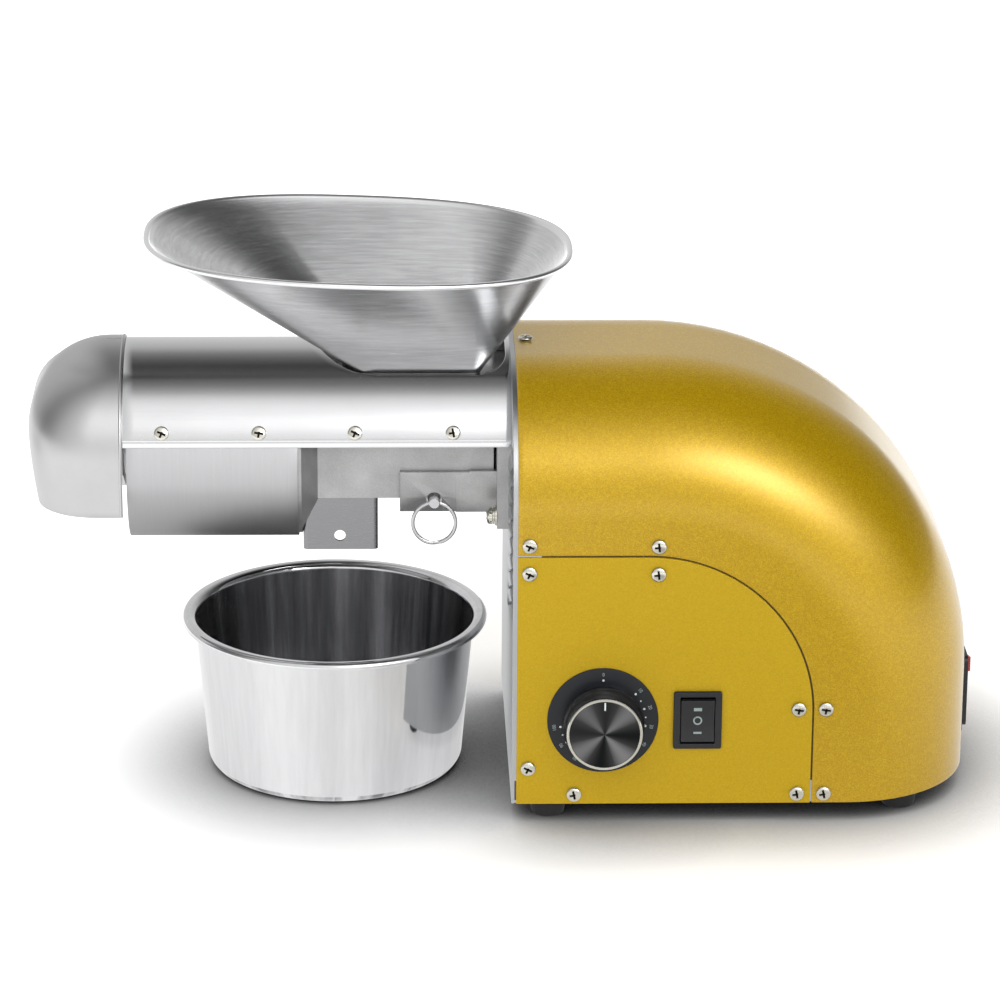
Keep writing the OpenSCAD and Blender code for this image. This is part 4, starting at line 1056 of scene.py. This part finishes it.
def screw_tree(material):
    net, size = group("Screws " + material, {
        "Head radius": 3.8, "Head height": 2.2, "Shank radius": 2.0, "Length": 6.0,
    })
    head_r, head_h = size["Head radius"] / 1000, size["Head height"] / 1000
    shank_r, length = size["Shank radius"] / 1000, size["Length"]

    def solid(kind, sizes, lift, **more):
        """A primitive whose middle is lifted above the seat."""
        sockets = {"Geometry": net.add("GeometryNodeMesh" + kind, {}, sizes), **more}
        return net.add("GeometryNodeTransform", {}, {**sockets, "Translation": net.vector(z=lift)})

    def boolean(operation, sockets):
        return net.add("GeometryNodeMeshBoolean", {"operation": operation}, sockets)

    flattened = net.vector(head_r, head_r, head_h * 0.5)
    ball = {"Segments": 40, "Rings": 20, "Radius": 1.0}
    dome = solid("UVSphere", ball, head_h * 0.5, Scale=flattened)
    drum = {"Vertices": 40, "Radius": head_r * 0.999, "Depth": head_h * 0.52}
    rim = solid("Cylinder", drum, head_h * 0.26)
    cut = [solid("Cube", {"Size": (0.03, 0.03, 0.01)}, -0.005)]
    for angle in (45, 135):
        blade = {"Size": net.vector(head_r * 1.24, head_r * 0.3, head_h * 1.2)}
        cut.append(solid("Cube", blade, head_h * 0.97, Rotation=(0, 0, math.radians(angle))))
    pit = {"Vertices": 12, "Radius Top": head_r * 0.30, "Radius Bottom": head_r * 0.14}
    cut.append(solid("Cone", {**pit, "Depth": head_h * 1.1}, head_h * 0.32))
    whole = boolean("UNION", {"Mesh 2": [dome, rim]})
    head = boolean("DIFFERENCE", {"Mesh 1": whole, "Mesh 2": cut})
    rod = {"Vertices": 20, "Radius": shank_r, "Depth": length / 1000}
    shank = solid("Cylinder", rod, length / -2000)
    screw = net.add("GeometryNodeJoinGeometry", {}, {0: [head, shank]})
    x, y, z = net.axes(net.add("GeometryNodeInputPosition"))
    across = (x * x + y * y) ** 0.5 / head_r
    surface = head_h * (0.5 + 0.5 * (1.0001 - across.part(0, 1) ** 2) ** 0.5)
    # sunk marks the cross recess, which the material paints dark as shade
    sunk = ((surface - z) / (head_h * 0.25)).part(0.1, 0.8)
    sunk = sunk * (0.68 - across).call("GREATER_THAN", 0.0) * z.call("GREATER_THAN", -0.0001)
    kept = {"data_type": "FLOAT", "domain": "POINT"}
    sockets = {"Geometry": screw, "Name": "sunk", "Value": sunk}
    screw = net.add("GeometryNodeStoreNamedAttribute", kept, sockets)
    vectors = {"data_type": "FLOAT_VECTOR"}
    facing = net.add("GeometryNodeInputNamedAttribute", vectors, {"Name": "facing"})
    turn = net.add("FunctionNodeAlignRotationToVector", {"axis": "Z"}, {"Vector": facing})
    sockets = {2: -0.9, 3: 0.9, "Seed": 4}
    spin = net.add("FunctionNodeRandomValue", {"data_type": "FLOAT"}, sockets, out=1)
    about = net.add("FunctionNodeAxisAngleToRotation", {}, {"Axis": (0, 0, 1), "Angle": spin})
    sockets = {"Rotation": turn, "Rotate By": about}
    turn = net.add("FunctionNodeRotateRotation", {"rotation_space": "LOCAL"}, sockets)
    scatter(net, size, screw, material, Rotation=turn)
    return net


screws = screw_tree("screw_heads")


def set_screws(name, spots, stands_for, **sizes):
    """Screws at (place, facing) spots in press millimetres, baked to one mesh."""
    piece = new_object(name, [p for p, _ in spots], [])
    facing = piece.data.attributes.new("facing", "FLOAT_VECTOR", "POINT")
    facing.data.foreach_set("vector", [c for _, way in spots for c in way])
    run_tree(piece, screws, {k.replace("_", " ").capitalize(): v for k, v in sizes.items()})
    hand_over(piece, "screw_heads", "machine", [stands_for], 32, "screw_steel")


def both_sides(spots, side_y=93):
    """(x, z) places on the front and the rear panel, with the way each one faces."""
    return [((x, s * side_y, z), (0, s, 0)) for s in (-1, 1) for x, z in spots]


shell_spots = both_sides([(6, 152.5), (72, 152), (160, 62.5), (160, 15.5)])
panel_spots = both_sides([(6, 137.5), (72, 137), (146, 62.5), (146, 15.5), (6, 30), (30, 15.5)])
set_screws("shell_screws", shell_spots + [((6, 0, 234), (0, 0, 1))], "housing_screws", length=3.5)
set_screws("side_screws", panel_spots, "panel_screws")
lean, screw_seat = math.radians(20.1), cover_r - 0.02
cover_spots = []
for x in (-182.5, -132.5, -83, -32.5):
    for s in (-1, 1):
        y, z = s * math.cos(lean), math.sin(lean)
        cover_spots.append(((x, screw_seat * y, barrel_z + screw_seat * z), (0, y, z)))
set_screws("barrel_screws", cover_spots, "cover_screws")
bolt_at = ((-44, 152), (44, 152), (-36, 200), (36, 200))
bolt_spots = [((-11.9, y, z), (-1, 0, 0)) for y, z in bolt_at]
bolt = {"head_radius": 4.6, "head_height": 3.3, "shank_radius": 3.0, "length": 14}
set_screws("mount_bolts", bolt_spots, "bracket_bolts", **bolt)

# under each bolt a washer, and a spring washer: one open turn whose ends stand a little apart
washer = [(3.05, 0.0), (5.3, 0.0), (5.4, 0.1), (5.4, 0.9), (5.3, 1.0), (3.05, 1.0), (3.05, 0.0)]
washer_x, spring_x, spring_steps, spring_pitch = -9.6, -10.72, 44, 0.28
spring_section = [(3.1, 0), (4.6, 0), (4.7, 0.1), (4.7, 0.75), (4.6, 0.85), (3.1, 0.85)]
ring, ring_faces = turned(washer, 48)
points, faces = [], []
for (x, y, z), _ in bolt_spots:
    add_solid(points, faces, [(washer_x - h, y + a, z + b) for a, b, h in ring], ring_faces)
    faces += tube_faces(spring_steps + 1, len(spring_section), len(points))
    for k in range(spring_steps + 1):
        t = math.radians(100 + 340 * k / spring_steps)
        x = spring_x - spring_pitch * k / spring_steps
        for r, depth in spring_section:
            points.append((x - depth, y + r * math.cos(t), z + r * math.sin(t)))
hand_over(new_object("bolt_washers", points, faces), "screw_steel", "machine", slot="screw_steel")
foot_at = [(17, -78), (202, -69), (202, 69), (17, 78)]
set_screws("feet_screws", [((x, y, 4), (0, 0, -1)) for x, y in foot_at], "foot_screws", length=11)
case_spots = [((58, y, z), (1, 0, 0)) for z in (72, 128) for y in (-35, 35)]
set_screws("case_screws", case_spots, "gearbox_screws", length=7.9)

# %% [markdown]
# A rubber foot is a turned part as well: a hollow for its screw, a rounded bottom edge and
# a slightly wider top. It is drawn once as a profile and repeated at the four places.

# %% Feet
foot = [(2.05, 4.0), (4.4, 4.0), (4.4, 0.6), (4.9, 0.0), (7.6, 0.0)]
foot += arc((7.6, 1.0), 1.0, -70, 0, 4)
foot += [(9.2, 4.5), (9.7, 8.6), (9.8, 9.6), (9.4, 10.0), (2.05, 10.0), (2.05, 4.0)]
ring, ring_faces = turned(foot, 48)
points, faces = [], []
for x, y in foot_at:
    add_solid(points, faces, [(x + px, y + py, pz) for px, py, pz in ring], ring_faces)
feet = new_object("rubber_feet", points, faces)
hand_over(feet, "foot_rubber", "machine", ["feet"], crease=40, slot="foot_rubber")

# %% [markdown]
# ## Dial and knob
# The dial is a thin black plate with printed dots and plain numbers from 0 to 100, and the
# knob in front of it is turned: a narrow skirt, a waist that leans in towards the face,
# a bright chamfer and a spun disc with a pointer groove. Everything is drawn flat or round
# about the knob's axis and then stood up against the panel.

# %% Dial and knob
def against_panel(p):
    """Turns (right, up, out) at the dial into press coordinates."""
    return (dial_at[0] + p[0], dial_at[1] - p[2], dial_at[2] + p[1])


def panel_turned(name, profile, steps, material, body, stands_for, slot):
    points, faces = turned(profile, steps)
    piece = new_object(name, [against_panel(p) for p in points], faces)
    hand_over(piece, material, body, stands_for, 30, slot)


disc = [(4.6, 0.0), (28.5, 0.0), (28.75, 0.25), (28.75, 0.7), (28.5, 0.95), (28.2, 1.0)]
disc += [(4.6, 1.0), (4.6, 0.0)]
panel_turned("dial_disc", disc, 128, "dial_black", "machine", ["dial_plate"], "dial_black")
knob = [(3.0, 3.0), (8.5, 3.0), (8.5, 1.6), (8.7, 1.4), (18.2, 1.4), (18.6, 1.8), (18.9, 3.4)]
knob += [(19.6, 5.4), (20.6, 7.6), (21.1, 8.4), (21.2, 9.0), (21.1, 9.8), (20.7, 11.2)]
knob += [(20.3, 12.0), (20.1, 15.0), (19.8, 19.4), (19.62, 20.2), (19.45, 20.4)]
knob += [(18.1, 20.4), (18.1, 20.2), (3.0, 20.2), (3.0, 3.0)]
panel_turned("knob_body", knob, 160, "knob_black", "knob", ["control_knob"], "black_plastic")
chamfer = [(19.5, 20.4), (19.5, 20.6), (19.1, 21.0), (18.3, 21.0), (18.15, 20.85)]
chamfer += [(18.15, 20.4), (19.5, 20.4)]
panel_turned("knob_ring", chamfer, 160, "screw_steel", "knob", (), None)
face = [(0.005, 20.25), (18.1, 20.25), (18.1, 20.75), (17.9, 20.9), (0.005, 20.9)]
panel_turned("spun_disc", face, 160, "spun_black", "knob", ["knob_face"], "spun_black")


def flat_marks(name, outlines, material, body, thickness=0.06, stand=against_panel, level=1.0):
    """Thin printed marks: flat outlines lifted a hair above what they are printed on."""
    points, faces = [], []
    for outline in outlines:
        n = len(outline)
        lids = [tuple(range(n, 2 * n)), tuple(reversed(range(n)))]
        walls = [(k, (k + 1) % n, n + (k + 1) % n, n + k) for k in range(n)]
        both = [stand((x, y, z)) for z in (level, level + thickness) for x, y in outline]
        add_solid(points, faces, both, lids + walls)
    hand_over(new_object(name, points, faces), material, body)


def circle(r, n, x=0.0, y=0.0):
    """n points round a circle."""
    turns = [2 * math.pi * k / n for k in range(n)]
    return [(x + r * math.cos(t), y + r * math.sin(t)) for t in turns]


def clock(degrees, radius):
    """A place on the dial, clockwise from the top."""
    a = math.radians(degrees)
    return radius * math.sin(a), radius * math.cos(a)


number_turns = [0, 49, 73.5, 98, 121.5, 145, 169, 192, 214, 237, 261]
halfway = [(a + b) / 2 for a, b in zip(number_turns[1:], number_turns[2:])]
dots_r, numbers_r, big_dot, small_dot = 22.2, 25.3, 0.62, 0.42
dots = [circle(big_dot, 20, *clock(a, dots_r)) for a in number_turns]
dots += [circle(small_dot, 20, *clock(a, dots_r)) for a in halfway]
flat_marks("dial_dots", dots, "pale_ink", "machine")
groove = [(-0.4, 13.4), (0.4, 13.4), (0.4, 17.7), (-0.4, 17.7)]
flat_marks("knob_pointer", [groove], "pale_ink", "knob", level=20.86, thickness=0.1)

# %% [markdown]
# The numbers are plain figures from Blender's own font. Each one is a text object that is
# made into a mesh first and then moved, turned so that its foot points at the knob.

# %% Dial numbers
figure_width, figures_out = 0.86, 1.03
numbers = bmesh.new()
for degrees, label in zip(number_turns, range(0, 110, 10)):
    text = bpy.data.curves.new("figure", "FONT")
    text.body, text.size, text.align_x, text.align_y = str(label), 2.7, "CENTER", "CENTER"
    text.extrude = 0.03
    figure = add_object("figure", text)
    graph = bpy.context.evaluated_depsgraph_get()
    flat = bpy.data.meshes.new_from_object(figure.evaluated_get(graph))
    right, up = clock(degrees, 1.0)
    cx, cy = clock(degrees, numbers_r)
    for vertex in flat.vertices:
        x, y, z = vertex.co
        x *= figure_width
        x, y = x * up + y * right, y * up - x * right
        vertex.co = at(against_panel((cx + x, cy + y, figures_out + z)))
    numbers.from_mesh(flat)
    bpy.data.objects.remove(figure)
plate = add_object("dial_numbers", bpy.data.meshes.new("dial_numbers"))
numbers.to_mesh(plate.data)
numbers.free()
hand_over(plate, "grey_ink", "machine")

# %% [markdown]
# ## Switches
# Both rockers are moulded, so the CAD solids stay, with rounder edges. Their marks are
# printed on: a bar, a ring and a dash on the three-way one, and a bar and a ring on the
# power rocker. They ride on the rockers.

# %% Switches and power inlet
for node in ("switch_body", "switch_rocker"):
    soften(node, 0.5, segments=3)
for node, edge in (("inlet_body", 0.4), ("inlet_rocker", 0.4), ("inlet_pins", 0.2)):
    soften(node, edge)


def ring_outline(x, outer, inner, n):
    """A printed O as quads, because it has a hole."""
    a, b = circle(outer, n, x), circle(inner, n, x)
    return [[a[k], a[(k + 1) % n], b[(k + 1) % n], b[k]] for k in range(n)]


def bar(x, y, w, h):
    return [(x + i * w / 2, y + j * h / 2) for i, j in ((-1, -1), (1, -1), (1, 1), (-1, 1))]


def rocker_level(height, half, rise, dip):
    """How far a rocker's face stands above its pivot, at a distance from its middle."""
    stops = (0.0, half * 0.5, half)
    return float(np.interp(abs(height), stops, (rise - dip, rise - dip * 0.75, rise)))


switch_at, switch_face = (93.5, -89.0, 57.0), (11.4, 7.2, 1.6)
inlet_pivot, inlet_face = (240.0, 0.0, 54.0), (8.9, 5.0, 1.2)
rocker_lean = math.radians(-8)          # the power rocker rests tipped to one side


def on_switch(p):
    x, y, out = p
    level = rocker_level(y, *switch_face) + out
    return (switch_at[0] + x, switch_at[1] - level, switch_at[2] + y)


def on_power_rocker(p):
    """Places on the power rocker: p is (along it, up, out), turned with its lean."""
    along, up, out = p
    level = rocker_level(along, *inlet_face) + out
    c, s = math.cos(rocker_lean), math.sin(rocker_lean)
    x, y, z = inlet_pivot
    return (x + level * c - along * s, y + along * c + level * s, z + up)


power = [bar(-5.6, 0, 0.8, 3.6)] + ring_outline(5.6, 1.7, 1.15, 20)
flat_marks("power_marks", power, "pale_ink", "power_rocker", 0.05, on_power_rocker, 0.0)
modes = [bar(0, 6.3, 4.2, 1.9), bar(0, -6.6, 4.2, 1.0)] + ring_outline(0, 2.35, 1.6, 28)
flat_marks("switch_marks", modes, "grey_ink", "front_rocker", 0.05, on_switch, 0.0)

# %% [markdown]
# ## Castings, plates and the pin
# The bracket and the chamber keep a cast part's generous rounding; folded plates have only
# a trace. The pin's ring is bent from wire and hangs in the pin's hole.

# %% Remaining visible parts
soften("mount_bracket", 0.9, segments=3)
soften("press_chamber", 0.6, "chamber_casting")
for node in ("end_plate", "base_plate"):
    soften(node, 0.2)
front_panel = soften("front_side_panel", 0.35)
rear_panel = soften("rear_side_panel", 0.35)
soften("oil_chute", 0.2)
soften("barrel_end_ring", 0.2)
soften("pull_pin", 0.3)
soften("pin_sleeve", 0.2)

# %% [markdown]
# The end plate's air slots are louvres: each slot is lanced and its upper lip pushed out
# into a small hood. One hood is a grid bent by a rule, and the tree sets it over every slot.

# %% Louvres by Geometry Nodes
net, size = group("Louvres", {"Half length": 12.5, "Rise": 1.7, "Drop": 5.2})
counts = {"Size X": 2.0, "Size Y": 1.0, "Vertices X": 25, "Vertices Y": 9}
hood = net.add("GeometryNodeMeshGrid", {}, counts)
along, down = net.axes(net.add("GeometryNodeInputPosition"), "xy")
bend = (down + 0.5) * (math.pi / 2)
swell = (1.0001 - along * along) ** 0.4
spot = net.vector(
    size["Rise"] * swell * bend.call("SINE") / -1000,
    size["Half length"] * along / 1000,
    (3.4 - size["Drop"] * (1 - bend.call("COSINE")) * swell) / 1000,
)
hood = net.add("GeometryNodeSetPosition", {}, {"Geometry": hood, "Position": spot})
scatter(net, size, hood, "grey_sheet")
slot_at = [(-2.35, y, 116 + 9 * k) for y in (-71, 71) for k in range(9)]
louvres = new_object("louvres", slot_at, [])
run_tree(louvres, net)
settle(louvres)
add_modifier(louvres, "SOLIDIFY", thickness=0.0005, offset=1)
hand_over(louvres, "grey_sheet", "machine", slot="grey_sheet")

# %% [markdown]
# The pull ring is a split ring, as on a bunch of keys: a flattened wire wound twice round,
# with its two ends either side of the short slope that joins the turns. The path is
# worked out point by point and an oval section is swept along it.

# %% Split ring
ring_middle, ring_r = (-42.0, -36.9, 156.6 - 11.1), 11.15
wire_radial, wire_axial, layer = 0.92, 0.46, 0.5


def split_ring_path(turn):
    """Angle in degrees and sideways place of the wire, turn running from 0 to 1."""
    angle = -77 + 694 * turn
    slope = min(1, max(0, (angle - 257) / 26))
    return math.radians(angle), layer * (2 * slope * slope * (3 - 2 * slope) - 1)


points, sides, stations = [], 12, 240
for k in range(stations):
    angle, shift = split_ring_path(k / (stations - 1))
    blunt = min(1.0, 0.55 + 0.45 * min(k, stations - 1 - k) / 2)
    for j in range(sides):
        a = 2 * math.pi * j / sides
        r = ring_r + blunt * wire_radial * math.cos(a)
        aside = shift + blunt * wire_axial * math.sin(a)
        x, y, z = ring_middle
        points.append((x + r * math.cos(angle), y + aside, z + r * math.sin(angle)))
ring = new_object("pull_ring", points, tube_faces(stations, sides))
hand_over(ring, "barrel_steel", "ring", ["pin_ring"], slot="polished_steel", crease=60)

# %% [markdown]
# ## The drive inside
# The gears, shafts, motor and electrics are sealed in, but they are real parts of the
# model, so each gets its own finish, and all but the press screw and the pin's spring get softened
# edges too.

# %% Inner parts
for node in (
    "nozzle_nut", "heater_band", "press_cage", "temperature_probe", "control_spindle",
    "control_body", "gearbox_case", "gearbox_cover", "output_shaft", "output_gear",
    "idler_gear", "shaft_bearings", "motor_can", "stator_core", "motor_windings",
    "motor_end_shields", "motor_rotor", "cooling_fan", "fan_cowl", "motor_cradle",
    "run_capacitor", "control_board",
):
    soften(node, 0.2, segments=1)
soften("press_screw", 0)

# the pin's collar presses its spring shorter as the pin is pulled out; here the spring only gets a
# mesh of its own
spring = soften("pin_spring", 0)
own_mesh(spring)

# %% [markdown]
# ## Floor and light
# The press stands on a white sweep. Near the machine the floor is matte and takes the soft
# shadow under it. For the camera alone, an Ambient Occlusion node deepens that shadow close
# to the feet. Further out the floor glows more and more, so that it stays an even white.
# What polished metal mirrors of it is set apart: white, with a dark card in front of the
# painted side, so that the lacquer keeps its colour, and a small one on the left.

# %% Floor
def stage_piece(name, mesh, material):
    piece = add_object(name, mesh)
    mesh.materials.append(material)
    piece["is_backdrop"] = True
    return piece


def blank(name):
    """A new material with a bare tree: it, its net and the socket that takes its surface."""
    material = bpy.data.materials.new(name)
    material.use_nodes = True
    tree = material.node_tree
    return material, Net(tree), tree.nodes["Material Output"].inputs["Surface"]


def patch(x, y, middle, half):
    """1 in the middle of a soft round patch and 0 well outside it."""
    u, v = (x - middle[0]) / half[0], (y - middle[1]) / half[1]
    return (-1 * (u * u + v * v)).call("EXPONENT")


floor_mesh = bpy.data.meshes.new("floor")
floor_half = 30
corners = [(x * floor_half, y * floor_half, 0) for x, y in ((-1, -1), (1, -1), (1, 1), (-1, 1))]
floor_mesh.from_pydata(corners, [], [(0, 1, 2, 3)])
white, net, surface = blank("white_floor")
x, y = net.axes(net.add("ShaderNodeTexCoord", out="Object"), "xy")
far = ((x * x + y * y) ** 0.5).part(0.28, 0.75)
seen = net.add("ShaderNodeLightPath", out="Is Camera Ray")
mirrored = net.add("ShaderNodeLightPath", out="Is Glossy Ray")
open_sky = net.add("ShaderNodeAmbientOcclusion", {"samples": 6}, {"Distance": 0.07}, out="AO")
open_sky = open_sky ** 1.6
light_left = 1 - seen * (1 - open_sky)


def glowing(share, white_level, glow):
    """Matte white where share is 1 and black where it is 0, with a glow of its own."""
    colour = net.mix(share, grey(0), grey(white_level))
    matte = net.add("ShaderNodeBsdfDiffuse", {}, {"Color": colour})
    emission = net.add("ShaderNodeEmission", {}, {"Strength": glow})
    return net.add("ShaderNodeAddShader", {}, {0: matte, 1: emission})


plain = glowing(light_left, 1, seen * open_sky * (0.27 + 0.73 * far))
painted_side = patch(x, y, (0.2, -0.42), (0.17, 0.3))
left_side = patch(x, y, (-1.0, 0.28), (0.22, 0.2))
cards = (1 - 0.65 * painted_side) * (1 - 0.85 * left_side)
mirror_view = glowing(cards, 0.5, cards * (0.58 + 0.34 * far))
net.feed(surface, net.add("ShaderNodeMixShader", {}, {0: mirrored, 1: plain, 2: mirror_view}))
stage_piece("floor", floor_mesh, white)

# %% [markdown]
# Bare metal shows its surroundings more than its own colour, so a studio builds those
# surroundings on purpose: a white tent round the object, with black boards where the
# curves need a dark line. Here the tent is a big sphere that only reflections see. Its
# brightness runs from the front over the top to the back: a bright softbox ahead and
# above, a black board overhead and a paler back. Two more boards stand at the sides.

# %% Light tent
tent_r = 6.0
tent_over = [  # along the way from ahead (0) over the top (90) to behind (180 degrees)
    (0, 0.85), (20, 0.95), (30, 1.05), (54, 1.05), (62, 0.85), (71, 0.42), (80, 0.2), (97, 0.1),
    (106, 0.06), (116, 0.14), (127, 0.28), (140, 0.6), (157, 0.74), (180, 0.85),
]
tent_round = [  # share of it that is left, going round from behind over the left side
    (-180, 0.9), (-140, 0.8), (-112, 0.75), (-104, 0.35), (-86, 0.2), (-72, 0.4), (-58, 0.7),
    (-40, 0.88), (-22, 1.0), (30, 1.0), (60, 0.95), (76, 0.35), (90, 0.12), (125, 0.12),
    (145, 0.4), (160, 0.7), (180, 0.9),
]
softbox_at, softbox_half, softbox_level = (35, 31), (12, 18), 8.5


def tent_colour(net):
    x, y, z = net.axes(net.add("ShaderNodeTexCoord", out="Object"))
    ahead = y * -1.0
    lift = z.call("ARCTAN2", ahead) * (180 / math.pi)
    swing = x.call("ARCTAN2", ahead) * (180 / math.pi)
    over = net.ramp(lift / 180, [(a / 180, grey(v)) for a, v in tent_over])
    sides = net.ramp(swing / 360 + 0.5, [(a / 360 + 0.5, grey(v)) for a, v in tent_round])
    over = net.mix((x / tent_r).part(-0.12, -0.34), over, grey(0.85))
    over, sides = (net.add("ShaderNodeRGBToBW", {}, {0: grey_wire}) for grey_wire in (over, sides))
    level = over * sides
    level = level + softbox_level * patch(lift, swing, softbox_at, softbox_half)
    return net.add("ShaderNodeCombineColor", {}, {0: level, 1: level, 2: level})


tent_mesh = bpy.data.meshes.new("light_tent")
ball = bmesh.new()
bmesh.ops.create_uvsphere(ball, u_segments=64, v_segments=32, radius=tent_r)
ball.to_mesh(tent_mesh)
ball.free()
cloth, net, surface = blank("tent_cloth")
net.feed(surface, net.add("ShaderNodeEmission", {}, {"Color": tent_colour(net)}))
cloth.cycles.emission_sampling = "NONE"
tent = stage_piece("light_tent", tent_mesh, cloth)
for ray in ("camera", "diffuse", "transmission", "volume_scatter", "shadow"):
    setattr(tent, "visible_" + ray, False)

# %% [markdown]
# What is not metal is lit in the plain way: an even white sky, a wide soft lamp in front
# and a smaller one behind. The lamps leave no square glints, because the tent already
# holds the shapes that the metal mirrors.

# %% Lamps and world
def lamp(name, place, wide, tall, watts):
    light = bpy.data.lights.new(name, "AREA")
    light.shape, light.size, light.size_y, light.energy = "RECTANGLE", wide, tall, watts
    holder = add_object(name, light)
    holder.location = place
    aim = Vector((0.0, 0, 0.15)) - Vector(place)
    holder.rotation_euler = aim.to_track_quat("-Z", "Y").to_euler()
    holder.visible_glossy = False


lamp("front_lamp", (-0.4, -1.7, 1.5), 2.6, 1.4, 20)
lamp("back_lamp", (0.3, 1.8, 1.5), 2.4, 1.0, 13)

world = bpy.data.worlds.new("studio")
bpy.context.scene.world = world
world.use_nodes = True
net = Net(world.node_tree)
direct = net.add("ShaderNodeLightPath", out="Is Camera Ray")
for kind in ("Is Glossy Ray", "Is Transmission Ray"):
    direct = direct.call("MAXIMUM", net.add("ShaderNodeLightPath", out=kind))
net.feed(world.node_tree.nodes["Background"].inputs["Strength"], direct * 0.34 + 0.66)
world.node_tree.nodes["Background"].inputs["Color"].default_value = (1, 1, 1, 1)

# %% [markdown]
# The housing, its side panels and the hopper stand so close to the bare metal that they
# would darken it. Mirrors look past them, so that they show the studio instead.

# %% Pieces that mirrors look past
for piece in (skin, hopper, front_panel, rear_panel):
    piece.visible_glossy = False

# %% [markdown]
# ## Sizes
# The dressed model's box is printed against the CAD box: how far each corner moved, in
# millimetres.

# %% Sizes and finish
low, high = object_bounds()
for name, corner, cad_corner in (("low", low, cad_box[0]), ("high", high, cad_box[1])):
    print(name, "corner moved by", [round((a - b) * 1000, 2) for a, b in zip(corner, cad_corner)])
